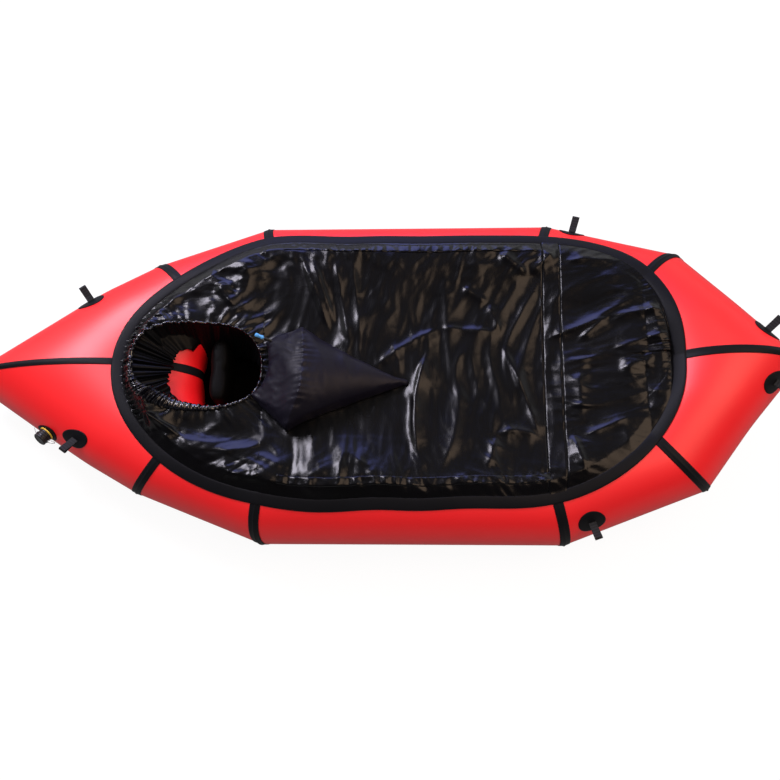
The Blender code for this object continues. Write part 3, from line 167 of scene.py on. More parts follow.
@dataclass(frozen=True)
class CoatedNylon:
    """Woven nylon under a film of polyurethane: a soft gloss over a faint weave, a little uneven in tone."""

    name: str
    colour: str
    worn_colour: str
    roughness: float
    specular: float = 0.5
    coat: float = 0.0
    coat_roughness: float = 0.2
    # real yarns are 0.3 to 0.5 mm apart; drawn coarser so that the weave shows
    yarn_mm: float = 1.4
    yarn_depth_mm: float = 0.02
    cloud_mm: float = 130.0
    crease_mm: float = 28.0
    crease_depth_mm: float = 0.0

    def material(self) -> bpy.types.Material:
        """Build the node material.

        Returns:
            The material.
        """
        made, tree, shader = blank_material(self.name)
        place = add_node(tree, "ShaderNodeTexCoord")
        flat = add_node(tree, "ShaderNodeMapping", links={"Vector": place.outputs["UV"]})
        solid = add_node(tree, "ShaderNodeMapping", links={"Vector": place.outputs["Object"]})
        cloud = add_node(
            tree,
            "ShaderNodeTexNoise",
            {"Scale": per_metre(self.cloud_mm), "Detail": 4.0, "Roughness": 0.55},
            {"Vector": solid.outputs["Vector"]},
        )
        tone = add_node(
            tree,
            "ShaderNodeMix",
            {6: linear(self.colour), 7: linear(self.worn_colour)},
            {0: cloud.outputs["Fac"]},
            data_type="RGBA",
        )
        tree.links.new(tone.outputs[2], shader.inputs["Base Color"])
        gloss = add_node(
            tree,
            "ShaderNodeMapRange",
            {"To Min": self.roughness - 0.05, "To Max": self.roughness + 0.05},
            {"Value": cloud.outputs["Fac"]},
        )
        tree.links.new(gloss.outputs["Result"], shader.inputs["Roughness"])
        yarns = [
            add_node(
                tree,
                "ShaderNodeTexWave",
                {"Scale": per_metre(self.yarn_mm) / WAVE_BANDS, "Distortion": 0.0},
                {"Vector": flat.outputs["Vector"]},
                bands_direction=direction,
            )
            for direction in "XY"
        ]
        yarn_heights = {number: yarn.outputs["Fac"] for number, yarn in enumerate(yarns)}
        weave = add_node(tree, "ShaderNodeMath", links=yarn_heights, operation="MAXIMUM")
        height = add_node(
            tree,
            "ShaderNodeBump",
            {"Strength": 0.6, "Distance": self.yarn_depth_mm / 1000.0},
            {"Height": weave.outputs["Value"]},
        )
        if self.crease_depth_mm:
            height = self._creases(tree, solid, height)
        tree.links.new(height.outputs["Normal"], shader.inputs["Normal"])
        shader.inputs["Specular IOR Level"].default_value = self.specular
        shader.inputs["Coat Weight"].default_value = self.coat
        shader.inputs["Coat Roughness"].default_value = self.coat_roughness
        return made

    def _creases(
        self, tree: bpy.types.NodeTree, solid: bpy.types.Node, under: bpy.types.Node
    ) -> bpy.types.Node:
        """Add fine crumples, as thin film cloth keeps from being folded away.

        Args:
            tree: the material's tree.
            solid: the mapping in the object's space.
            under: the bump below.

        Returns:
            The bump node on top.
        """
        bend = add_node(
            tree,
            "ShaderNodeTexNoise",
            {"Scale": per_metre(self.crease_mm * 1.6), "Detail": 2.0},
            {"Vector": solid.outputs["Vector"]},
        )
        bent = add_node(
            tree,
            "ShaderNodeVectorMath",
            {1: (0.03, 0.03, 0.03)},
            {0: bend.outputs["Color"], 2: solid.outputs["Vector"]},
            operation="MULTIPLY_ADD",
        )
        cells = add_node(
            tree,
            "ShaderNodeTexVoronoi",
            {"Scale": per_metre(self.crease_mm), "Randomness": 1.0},
            {"Vector": bent.outputs["Vector"]},
            feature="DISTANCE_TO_EDGE",
        )
        ridge = add_node(
            tree,
            "ShaderNodeMapRange",
            {"From Min": 0.0, "From Max": 0.22, "To Min": 1.0, "To Max": 0.0},
            {"Value": cells.outputs["Distance"]},
            interpolation_type="SMOOTHSTEP",
        )
        return add_node(
            tree,
            "ShaderNodeBump",
            {"Strength": 0.5, "Distance": self.crease_depth_mm / 1000.0},
            {"Height": ridge.outputs["Result"], "Normal": under.outputs["Normal"]},
        )


@dataclass(frozen=True)
class NylonWebbing:
    """Woven nylon webbing: dull, with ribs across and two raised edges."""

    name: str = "nylon_webbing"
    colour: str = "#121214"
    worn_colour: str = "#1f1f22"
    # real ribs are about 1 mm apart
    rib_mm: float = 1.2
    rib_depth_mm: float = 0.25

    def material(self) -> bpy.types.Material:
        """Build the node material.

        Returns:
            The material.
        """
        made, tree, shader = blank_material(self.name)
        place = add_node(tree, "ShaderNodeTexCoord")
        flat = add_node(tree, "ShaderNodeMapping", links={"Vector": place.outputs["UV"]})
        ribs = add_node(
            tree,
            "ShaderNodeTexWave",
            {"Scale": per_metre(self.rib_mm) / WAVE_BANDS, "Distortion": 1.2, "Detail": 1.0},
            {"Vector": flat.outputs["Vector"]},
            bands_direction="Y",
        )
        tone = add_node(
            tree,
            "ShaderNodeMix",
            {6: linear(self.colour), 7: linear(self.worn_colour)},
            {0: ribs.outputs["Fac"]},
            data_type="RGBA",
        )
        tree.links.new(tone.outputs[2], shader.inputs["Base Color"])
        height = add_node(
            tree,
            "ShaderNodeBump",
            {"Strength": 0.7, "Distance": self.rib_depth_mm / 1000.0},
            {"Height": ribs.outputs["Fac"]},
        )
        tree.links.new(height.outputs["Normal"], shader.inputs["Normal"])
        shader.inputs["Roughness"].default_value = 0.72
        shader.inputs["Specular IOR Level"].default_value = 0.3
        return made


@dataclass(frozen=True)
class MouldedPlastic:
    """Injection-moulded polyurethane or ABS: even colour, satin, with a fine spark-eroded grain."""

    name: str
    colour: str
    scuffed_colour: str
    roughness: float = 0.42
    # spark-eroded grain is about 0.1 mm; drawn coarser so that it shows
    grain_mm: float = 0.6
    grain_depth_mm: float = 0.03

    def material(self) -> bpy.types.Material:
        """Build the node material.

        Returns:
            The material.
        """
        made, tree, shader = blank_material(self.name)
        place = add_node(tree, "ShaderNodeTexCoord")
        solid = add_node(tree, "ShaderNodeMapping", links={"Vector": place.outputs["Object"]})
        grain = add_node(
            tree,
            "ShaderNodeTexNoise",
            {"Scale": per_metre(self.grain_mm), "Detail": 2.0},
            {"Vector": solid.outputs["Vector"]},
        )
        cloud = add_node(
            tree, "ShaderNodeTexNoise", {"Scale": per_metre(9.0), "Detail": 3.0},
            {"Vector": solid.outputs["Vector"]}
        )
        tone = add_node(
            tree,
            "ShaderNodeMix",
            {6: linear(self.colour), 7: linear(self.scuffed_colour)},
            {0: cloud.outputs["Fac"]},
            data_type="RGBA",
        )
        tree.links.new(tone.outputs[2], shader.inputs["Base Color"])
        height = add_node(
            tree,
            "ShaderNodeBump",
            {"Strength": 0.4, "Distance": self.grain_depth_mm / 1000.0},
            {"Height": grain.outputs["Fac"]},
        )
        tree.links.new(height.outputs["Normal"], shader.inputs["Normal"])
        shader.inputs["Roughness"].default_value = self.roughness
        return made


@dataclass(frozen=True)
class ClearFilm:
    """Clear polyurethane strap: see-through, faintly milky, with a soft gloss."""

    name: str = "clear_polyurethane"
    colour: str = "#eef1f2"

    def material(self) -> bpy.types.Material:
        """Build the node material.

        Returns:
            The material.
        """
        made, tree, shader = blank_material(self.name)
        place = add_node(tree, "ShaderNodeTexCoord")
        solid = add_node(tree, "ShaderNodeMapping", links={"Vector": place.outputs["Object"]})
        cloud = add_node(
            tree, "ShaderNodeTexNoise", {"Scale": per_metre(6.0)}, {"Vector": solid.outputs["Vector"]}
        )
        gloss = add_node(
            tree, "ShaderNodeMapRange", {"To Min": 0.18, "To Max": 0.34}, {"Value": cloud.outputs["Fac"]}
        )
        tree.links.new(gloss.outputs["Result"], shader.inputs["Roughness"])
        shader.inputs["Base Color"].default_value = linear(self.colour)
        shader.inputs["IOR"].default_value = 1.5
        shader.inputs["Transmission Weight"].default_value = 0.55
        return made


class Finishes:
    """Every material of the boat, each made once."""

    def __init__(self) -> None:
        """Build the materials."""
        self.hull = CoatedNylon("tube_nylon_red", "#f2121a", "#ec0e16", 0.42, 0.62, yarn_mm=1.6).material()
        self.tape = CoatedNylon("seam_tape_charcoal", "#0e0e11", "#131317", 0.50, 0.13).material()
        thin = {"crease_depth_mm": 0.12, "crease_mm": 24.0, "yarn_depth_mm": 0.004}
        self.deck = CoatedNylon("deck_nylon_black", "#050506", "#09080b", 0.26, 0.33, **thin).material()
        glossy = {"coat": 1.0, "coat_roughness": 0.12, "crease_depth_mm": 0.10}
        self.hem = CoatedNylon("hem_nylon_gloss", "#08080c", "#101018", 0.16, 1.0, **glossy).material()
        # partly painted shade: this near-black band also stands where shade falls inside the opening
        self.band = CoatedNylon("inner_band_and_painted_shade_nylon", "#040405", "#070709", 0.45, 0.15).material()
        self.bladder = CoatedNylon("bladder_nylon", "#110f18", "#16131e", 0.44, 0.20).material()
        self.floor = CoatedNylon(
            "floor_nylon_black", "#0c0a0a", "#110f0f", 0.6, 0.2, yarn_depth_mm=0.05
        ).material()
        self.seat = CoatedNylon("seat_nylon_black", "#050404", "#080707", 0.6, 0.08).material()
        self.webbing = NylonWebbing().material()
        self.black = MouldedPlastic("valve_polyurethane_black", "#121213", "#1c1c1e").material()
        self.rubber = MouldedPlastic("filling_tube_rubber", "#0f0f10", "#19191b", 0.55).material()
        self.blue = MouldedPlastic("mouthpiece_blue", "#4a92cf", "#5aa2dc", 0.38).material()
        self.yellow = MouldedPlastic("valve_ring_yellow", "#d8a92c", "#e3b843", 0.45).material()
        self.clear = ClearFilm().material()


def grid_sheet(
    columns: int, rows: int, surface: Surface, facing: Callable[[Vector], Vector] | None = None,
    join: float = 0.0
) -> bmesh.types.BMesh:
    """Make a grid and lay its vertices on a surface.

    Args:
        columns: faces across.
        rows: faces along.
        surface: gives the points and the flat places for shares across and along.
        facing: gives the way that a face at a point looks.
        join: edges nearer than this are joined, as where a tube closes.

    Returns:
        The shape, with its flat places as a UV map.
    """
    shape = bmesh.new()
    flat_layer = shape.loops.layers.uv.new("Flat")
    bmesh.ops.create_grid(shape, x_segments=columns, y_segments=rows, size=0.5)
    shape.verts.index_update()
    shares = np.array([vert.co[:2] for vert in shape.verts]) + 0.5
    points, flat = surface(shares[:, 0], shares[:, 1])
    for vert, point in zip(shape.verts, points):
        vert.co = point
    for face in shape.faces:
        for loop in face.loops:
            loop[flat_layer].uv = flat[loop.vert.index]
    if join:
        bmesh.ops.remove_doubles(shape, verts=shape.verts, dist=join)
    if facing is not None:
        turn_to(shape, facing)
    return shape


def smooth_share(value: Array, start: float, end: float) -> Array:
    """Return a share that eases from 0 at a start to 1 at an end."""
    share = np.clip((value - start) / (end - start), 0.0, 1.0)
    return share * share * (3.0 - 2.0 * share)


def turn_to(shape: bmesh.types.BMesh, facing: Callable[[Vector], Vector]) -> None:
    """Reverse all faces if most look the wrong way.

    Args:
        shape: the shape.
        facing: gives the way that a face at a point looks.
    """
    shape.normal_update()
    shape.faces.ensure_lookup_table()
    sample = list(shape.faces)[:: max(len(shape.faces) // 400, 1)]
    if sum(face.normal.dot(facing(face.calc_center_median())) * face.calc_area() for face in sample) < 0:
        bmesh.ops.reverse_faces(shape, faces=shape.faces)


def joined(shapes: Sequence[bmesh.types.BMesh]) -> bmesh.types.BMesh:
    """Put shapes together and join their common edges.

    Args:
        shapes: the shapes, which are freed.

    Returns:
        The joined shape.
    """
    whole = bmesh.new()
    for shape in shapes:
        mesh = bpy.data.meshes.new("part")
        shape.to_mesh(mesh)
        shape.free()
        whole.from_mesh(mesh)
        bpy.data.meshes.remove(mesh)
    bmesh.ops.remove_doubles(whole, verts=whole.verts, dist=JOIN)
    return whole


def close_ends(shape: bmesh.types.BMesh) -> None:
    """Close the open ends of a tube with faces, and point all faces outward.

    Args:
        shape: the tube, which is changed.
    """
    edges = [edge for edge in shape.edges if edge.is_boundary]
    bmesh.ops.holes_fill(shape, edges=edges, sides=0)
    bmesh.ops.recalc_face_normals(shape, faces=shape.faces)


def turned(profile: Sequence[tuple[float, float]], steps: int) -> bmesh.types.BMesh:
    """Spin a profile of radii and heights about Z into a closed solid.

    Args:
        profile: (radius, height) points.
        steps: steps round.

    Returns:
        The solid.
    """
    shape = bmesh.new()
    verts = [shape.verts.new((radius, 0.0, height)) for radius, height in profile]
    pairs = list(zip(verts, verts[1:]))
    if profile[0][0] > 0 and profile[-1][0] > 0:
        pairs.append((verts[-1], verts[0]))
    edges = [shape.edges.new(pair) for pair in pairs if pair[0].co.x > 0 or pair[1].co.x > 0]
    bmesh.ops.spin(
        shape,
        geom=verts + edges,
        cent=(0.0, 0.0, 0.0),
        axis=(0.0, 0.0, 1.0),
        angle=math.tau,
        steps=steps,
        use_merge=True,
    )
    bmesh.ops.remove_doubles(shape, verts=shape.verts, dist=0.00001)
    bmesh.ops.recalc_face_normals(shape, faces=shape.faces)
    return shape


def axis_matrix(point: Sequence[float], direction: Sequence[float], side: Sequence[float]) -> Matrix:
    """Return the matrix that puts Z along a direction and X near a side at a point.

    Args:
        point: where the origin goes.
        direction: where Z goes.
        side: roughly where X goes.

    Returns:
        The matrix.
    """
    z_axis = Vector(direction).normalized()
    y_axis = z_axis.cross(Vector(side)).normalized()
    matrix = Matrix((y_axis.cross(z_axis), y_axis, z_axis)).transposed().to_4x4()
    matrix.translation = Vector(point)
    return matrix


def make_piece(
    name: str,
    shape: bmesh.types.BMesh,
    material: bpy.types.Material,
    body: str = "raft",
    replaces: Sequence[str] = (),
    sharp_deg: float = 50.0,
) -> bpy.types.Object:
    """Turn a shape into a piece of the boat.

    Args:
        name: the piece's name.
        shape: its shape in the frame's space, which is freed.
        material: its material.
        body: the CAD body it rides on.
        replaces: the CAD nodes it stands for.
        sharp_deg: edges sharper than this stay sharp.

    Returns:
        The piece.
    """
    mesh = bpy.data.meshes.new(name)
    shape.to_mesh(mesh)
    shape.free()
    mesh.materials.append(material)
    mesh.shade_smooth()
    mesh.set_sharp_from_angle(angle=math.radians(sharp_deg))
    item = bpy.data.objects.new(name, mesh)
    bpy.context.scene.collection.objects.link(item)
    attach(item, body)
    if replaces:
        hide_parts(*replaces)
    LOG.info("%s: %d faces, rides on %s", name, len(mesh.polygons), body)
    return item


def give_wall(item: bpy.types.Object, thickness: float, outward: bool = True) -> None:
    """Give a sheet its thickness with Solidify.

    Args:
        item: the piece.
        thickness: metres.
        outward: whether the wall grows toward the side that the faces look to.
    """
    wall = item.modifiers.new("Wall", "SOLIDIFY")
    wall.thickness = thickness
    wall.offset = 1.0 if outward else -1.0
    wall.use_even_offset = False


def soften(item: bpy.types.Object, width: float) -> None:
    """Round a moulded piece's sharp edges.

    Args:
        item: the piece.
        width: the rounding's width in metres.
    """
    bevel = item.modifiers.new("Rounding", "BEVEL")
    bevel.width = width
    bevel.segments = 2
    bevel.limit_method = "ANGLE"
    bevel.angle_limit = math.radians(40.0)


@dataclass(frozen=True)
class Station:
    """One cross-section of the left half of the hull.

    Along, out and rise are shares of the centre line's length, its half spread and the bow's rise. Half
    width, half height and lean are shares of the tube's radius; heading is the plan direction of the outer
    side.
    """

    along: float
    out: float
    rise: float
    heading_deg: float
    half_width: float
    half_height: float
    lean: float


@dataclass
class HullSurface:
    """The outer surface of the hull's left half: sections at stations, with straight panels between them."""

    radius: float = 0.145
    length: float = 1.804
    spread: float = 0.332
    bow_rise: float = 0.1095
    stern_drop: float = 0.022
    bow_lift: float = 0.0065
    centre_height: float = 0.14486
    fold_rounding: float = 0.2
    # a scratch program fitted these shares to the outline and the seams in the photograph
    stations: tuple[Station, ...] = (
        Station(0.0000, 0.000, 0.073, 180.0, 2.366, 1.024, 0.000),
        Station(0.1020, 0.435, 0.037, 148.6, 1.317, 1.017, 0.100),
        Station(0.1469, 0.645, 0.000, 126.5, 1.017, 1.000, 0.241),
        Station(0.3165, 0.988, 0.000, 108.5, 1.028, 1.000, -0.162),
        Station(0.7284, 1.000, 0.000, 74.0, 1.014, 1.000, -0.083),
        Station(0.9096, 0.660, 0.452, 48.5, 1.034, 1.000, -0.393),
        Station(0.9568, 0.326, 0.822, 25.9, 0.998, 1.028, -0.086),
        Station(1.0000, 0.000, 1.000, 0.0, 1.390, 1.010, 0.000),
    )
    rounded_stations: tuple[int, ...] = (1, 6)

    def __post_init__(self) -> None:
        """Work out the sections' vectors and the seeds of the search in plan."""
        first, last = self.stations[0], self.stations[-1]
        start_x = -(self.length + self.radius * (last.half_width - first.half_width)) / 2
        rows = []
        for item in self.stations:
            heading = math.radians(item.heading_deg)
            outer = np.array((math.cos(heading), math.sin(heading), 0.0))
            travel = np.array((math.sin(heading), -math.cos(heading), 0.0))
            centre = (
                start_x + item.along * self.length,
                item.out * self.spread,
                self.centre_height + item.rise * self.bow_rise,
            )
            across = item.half_width * self.radius * outer
            upward = self.radius * (item.half_height * UP + item.lean * travel)
            rows.append(np.stack((centre, across, upward)))
        self.rows = np.stack(rows)
        self.last = len(self.stations) - 1
        self.rows[0, 1] -= self.stern_drop * UP
        self.rows[self.last, 1] += self.bow_lift * UP
        stations = np.linspace(0, self.last, 40 * self.last + 1)
        angles = np.radians(np.arange(14.0, 170.0, 3.0))
        self.seed_stations = np.repeat(stations, len(angles))
        self.seed_angles = np.tile(angles, len(stations))
        places = self.point(self.seed_stations, self.seed_angles)
        self.tree = KDTree(len(places))
        for index, point in enumerate(places):
            self.tree.insert((point[0], point[1], 0.0), index)
        self.tree.balance()

    def section(self, station: Array) -> Array:
        """Return the centre, across and upward vectors at stations.

        Args:
            station: station numbers, whole or between two.

        Returns:
            An array of station by the three vectors.
        """
        low = np.clip(np.floor(station).astype(int), 0, self.last - 1)
        share = (station - low)[:, None, None]
        found = self.rows[low] * (1 - share) + self.rows[low + 1] * share
        reach = self.fold_rounding
        for fold in self.rounded_stations:
            turn = self.rows[fold + 1] - 2 * self.rows[fold] + self.rows[fold - 1]
            near = np.clip(reach - np.abs(station - fold), 0.0, reach)
            found += turn[None] * (near**2 / (4 * reach))[:, None, None]
        return found

    def point(self, station: Array, angle: Array) -> Array:
        """Return points of the tube; the angle runs from the outer side over the top."""
        found = self.section(station)
        return found[:, 0] + np.cos(angle)[:, None] * found[:, 1] + np.sin(angle)[:, None] * found[:, 2]

    def slopes(self, station: Array, angle: Array) -> Pair:
        """Return the surface's changes with the station and with the angle.

        Args:
            station: places along the tube from the stern, whole numbers at its rings.
            angle: angles round the tube's section in radians.

        Returns:
            The changes of the points with the station, and with the angle.
        """
        before = np.clip(station - 0.012, 0, self.last)
        after = np.clip(station + 0.012, 0, self.last)
        along = (self.point(after, angle) - self.point(before, angle)) / (after - before)[:, None]
        found = self.section(station)
        around = -np.sin(angle)[:, None] * found[:, 1] + np.cos(angle)[:, None] * found[:, 2]
        return along, around

    def normal(self, station: Array, angle: Array) -> Array:
        """Return the unit normals that point out of the tube.

        Args:
            station: places along the tube from the stern, whole numbers at its rings.
            angle: angles round the tube's section in radians.

        Returns:
            The normals, one in each row.
        """
        along, around = self.slopes(station, angle)
        normal = np.cross(around, along)
        return normal / np.linalg.norm(normal, axis=1)[:, None]

    def lifted(self, station: Array, angle: Array, lift: float | Array) -> Array:
        """Return points of the tube moved out along its normal."""
        return self.point(station, angle) + np.reshape(lift, (-1, 1)) * self.normal(station, angle)

    def over(self, x: Array, y: Array) -> Pair:
        """Return the stations and angles of the tube's upper side over plan points with y of 0 or more.

        Args:
            x: places along the boat in metres.
            y: places across the boat in metres.

        Returns:
            The stations and the angles.
        """
        nearest = [self.tree.find((px, py, 0.0))[1] for px, py in zip(x, y)]
        station = self.seed_stations[nearest].astype(float)
        angle = self.seed_angles[nearest].astype(float)
        for _ in range(8):
            along, around = self.slopes(station, angle)
            miss = np.stack((x, y), axis=1) - self.point(station, angle)[:, :2]
            det = along[:, 0] * around[:, 1] - along[:, 1] * around[:, 0]
            det = np.where(np.abs(det) < 1e-9, 1e-9, det)
            step = (miss[:, 0] * around[:, 1] - miss[:, 1] * around[:, 0]) / det
            turn = (along[:, 0] * miss[:, 1] - along[:, 1] * miss[:, 0]) / det
            station = np.clip(station + np.clip(step, -0.2, 0.2), 0, self.last)
            angle = angle + np.clip(turn, -0.2, 0.2)
        return station, angle

    def height_over(self, x: Array, y: Array, lift: float) -> Array:
        """Return the lifted surface's height over plan points, far below where there is no tube under them.

        Args:
            x: places along the boat in metres.
            y: places across the boat in metres.
            lift: the height over the surface in metres.

        Returns:
            The heights in metres.
        """
        station, angle = self.over(x, np.abs(y))
        found = self.point(station, angle)
        missed = np.hypot(found[:, 0] - x, found[:, 1] - np.abs(y)) > 0.0005
        missed |= (angle < 0) | (angle > math.radians(150.0))
        steep = np.maximum(self.normal(station, angle)[:, 2], 0.3)
        return np.where(missed, -1.0, found[:, 2] + lift / steep)

    def on_top(self, x: Array, y: Array, lift: float | Array) -> Array:
        """Return the points over plan points, moved out along the normal; the right side mirrors the left.

        Args:
            x: places along the boat in metres.
            y: places across the boat in metres.
            lift: the height over the surface in metres.

        Returns:
            The points, one in each row.
        """
        station, angle = self.over(x, np.abs(y))
        found = self.lifted(station, angle, lift)
        found[:, 1] = np.where(y < 0, -found[:, 1], found[:, 1])
        return found


@dataclass
class HullTube:
    """The ten fabric panels of the tube and the tapes over their seams."""

    surface: HullSurface
    finishes: Finishes
    wall: float = 0.0008
    tape_width: float = 0.028
    tape_lift: float = 0.0007
    tape_wall: float = 0.0006
    ground_gap: float = 0.0001
    # under the deck the tip tapes sink into the tube: by how much, and how far from the deck's middle
    sunk: float = 0.006
    deck_middle_x: float = 0.064
    deck_tape_reach: tuple[float, float] = (0.770, 0.752)
    deck_reach: tuple[float, float] = (0.660, 0.690)
    around: int = 128
    panels: dict[str, tuple[int, int]] = field(
        default_factory=lambda: {
            "stern": (0, 2), "rear_quarter": (2, 3), "side": (3, 4), "front_quarter": (4, 5), "bow": (5, 7)
        }
    )
    seams: dict[str, int] = field(
        default_factory=lambda: {
            "stern": 0, "rear_quarter": 2, "rear_side": 3, "front_side": 4, "front_quarter": 5, "bow": 7
        }
    )

    def build(self) -> None:
        """Build all panels and tapes."""
        for name, (first, last) in self.panels.items():
            for side in Side:
                self._panel(name, first, last, side)
        for name, station in self.seams.items():
            if station in (0, self.surface.last):
                self._tip_tape(name, station)
            else:
                for side in Side:
                    self._seam_tape(name, station, side)

    def _panel(self, name: str, first: int, last: int, side: Side) -> None:
        """Build one panel as a smooth tube of cloth.

        Args:
            name: the panel's name.
            first: the station it starts at.
            last: the station it ends at.
            side: the boat's side.
        """
        rows = 40 * (last - first)

        def shape_at(u: Array, v: Array) -> Pair:
            """Return the panel's points.

            Args:
                u: shares along the grid's first direction, 0 to 1.
                v: shares along its second direction, 0 to 1.

            Returns:
                The points, and their places on the flat cloth in metres.
            """
            angle = u * math.tau
            station = first + v * (last - first)
            found = self.surface.point(station, angle)
            pleat = self._pleats(station, angle, first, last)
            found = found + pleat[:, None] * self.surface.normal(station, angle)
            if side is Side.RIGHT:
                found = found * MIRROR
            reach = np.linalg.norm(self.surface.rows[last, 0] - self.surface.rows[first, 0])
            return found, np.stack((u * math.tau * self.surface.radius, v * reach), axis=1)

        def outward(place: Vector) -> Vector:
            """Return the direction from the tube's middle line to a face.

            Args:
                place: the middle of a face.

            Returns:
                The direction.
            """
            middle = self.surface.section(np.array([(first + last) / 2.0]))[0, 0]
            line = np.array(self.surface.rows[last, 0] - self.surface.rows[first, 0])
            if side is Side.RIGHT:
                middle, line = middle * MIRROR, line * MIRROR
            offset = np.array(place) - middle
            return Vector(offset - line * (offset @ line) / (line @ line))

        shape = grid_sheet(self.around, rows, shape_at, outward, join=JOIN)
        item = make_piece(
            f"tube_{name}_{side.word}", shape, self.finishes.hull,
            replaces=[f"hull_{name}_{side.word}"]
        )
        give_wall(item, self.wall, outward=False)
        width, length = self._cut(first, last)

    def _cut(self, first: int, last: int) -> tuple[float, float]:
        """Return the greatest width and length of a panel's flat cut.

        Args:
            first: the seam that the panel starts at.
            last: the seam that it ends at.

        Returns:
            The width and the length in metres.
        """
        angle = np.linspace(0, math.tau, 97)
        rings = [self.surface.point(np.full_like(angle, s), angle) for s in np.linspace(first, last, 9)]
        widths = [np.linalg.norm(np.diff(ring, axis=0), axis=1).sum() for ring in rings]
        lengths = sum(np.linalg.norm(b - a, axis=1) for a, b in zip(rings, rings[1:]))
        return 1.02 * max(widths), 1.02 * float(lengths.max())

    def _pleats(self, station: Array, angle: Array, first: int, last: int) -> Array:
        """Return the height of the short pleats beside a panel's seams, on the inner side of each bend.

        Args:
            station: places along the tube from the stern, whole numbers at its rings.
            angle: angles round the tube's section in radians.
            first: the seam that the panel starts at.
            last: the seam that it ends at.

        Returns:
            The heights in metres.
        """
        near_first = np.exp(-(station - first) / 0.10)
        near_last = np.exp(-(last - station) / 0.10)
        inner = np.clip(-np.cos(angle), 0.0, 1.0) ** 2
        wave = np.sin(angle * 37.0) * 0.6 + np.sin(angle * 23.0 + 1.0) * 0.4
        at_seam = np.minimum(station - first, last - station)
        return 0.0012 * wave * inner * (near_first + near_last) * np.clip(at_seam / 0.03, 0.0, 1.0)

    def _beside(self, station: int, angle: Array, offset: Array) -> Array:
        """Return tape points at signed distances from a seam along the panels.

        Args:
            station: the seam.
            angle: angles round the tube's section in radians.
            offset: the distances in metres, negative toward the stern.

        Returns:
            The points, one in each row.
        """
        toward = np.where(offset < 0, -1.0, 1.0)
        here = np.full_like(angle, float(station))
        line = np.linalg.norm(
            self.surface.point(here + toward, angle) - self.surface.point(here, angle), axis=1
        )
        place = here + offset / line
        probe = here + toward * np.maximum(np.abs(offset / line), 0.03)
        return self.surface.point(place, angle) + self.tape_lift * self.surface.normal(probe, angle)

    def _seam_tape(self, name: str, station: int, side: Side) -> None:
        """Build the ring of tape over one seam of one side.

        Args:
            name: the seam's name.
            station: the seam.
            side: the boat's side.
        """

        def shape_at(u: Array, v: Array) -> Pair:
            """Return the tape's points.

            Args:
                u: shares of the turn round the tube.
                v: shares across the tape.

            Returns:
                The points, and their places on the flat cloth in metres.
            """
            angle = u * math.tau
            offset = (v - 0.5) * self.tape_width
            found = self._beside(station, angle, offset)
            crest = np.abs(offset) < self.tape_width * 0.02
            other = self._beside(station, angle, np.full_like(offset, -self.tape_width * 0.001))
            ridge = (found + other) / 2 + (found + other - 2 * self._seam(station, angle))
            found = np.where(crest[:, None], ridge, found)
            if side is Side.RIGHT:
                found = found * MIRROR
            found[:, 2] = np.maximum(found[:, 2], self.tape_wall + self.ground_gap)
            return found, np.stack((u * math.tau * self.surface.radius, offset), axis=1)

        middle = Vector(self.surface.rows[station, 0] * (MIRROR if side is Side.RIGHT else 1.0))
        shape = grid_sheet(self.around, 8, shape_at, lambda place: place - middle, join=JOIN)
        end = f"tape_{name}_{side.word}"
        item = make_piece(end, shape, self.finishes.tape, replaces=[f"seam_{end}"])
        give_wall(item, self.tape_wall)

    def _seam(self, station: int, angle: Array) -> Array:
        """Return a seam's own points."""
        return self.surface.point(np.full_like(angle, float(station)), angle)

    def _tip_tape(self, name: str, station: int) -> None:
        """Build the tape in the middle plane at one tip, over both sides.

        Args:
            name: the tip's name.
            station: the tip's station.
        """
        toward = 1.0 if station == 0 else -1.0

        def shape_at(u: Array, v: Array) -> Pair:
            """Return the tape's points.

            Args:
                u: shares of the turn round the tube.
                v: shares across the tape.

            Returns:
                The points, and their places on the flat cloth in metres.
            """
            angle = u * math.tau
            offset = (v - 0.5) * self.tape_width
            found = self._beside(station, angle, np.abs(offset) * toward + toward * 1e-7)
            found[:, 1] = np.where(np.abs(offset) < 1e-6, 0.0, np.abs(found[:, 1]) * np.sign(offset))
            reach = np.abs(found[:, 0] - self.deck_middle_x)
            covered = smooth_share(reach, *self.deck_tape_reach) * smooth_share(reach, *self.deck_reach)
            found[:, 2] -= self.sunk * covered * smooth_share(found[:, 2], 0.250, 0.270)
            return found, np.stack((u * math.tau * self.surface.radius, offset), axis=1)

        middle = Vector(self.surface.rows[station, 0])
        shape = grid_sheet(self.around, 8, shape_at, lambda place: place - middle, join=JOIN)
        item = make_piece(
            f"tape_{name}", shape, self.finishes.tape, replaces=[f"seam_tape_{name}"]
        )
        give_wall(item, self.tape_wall)


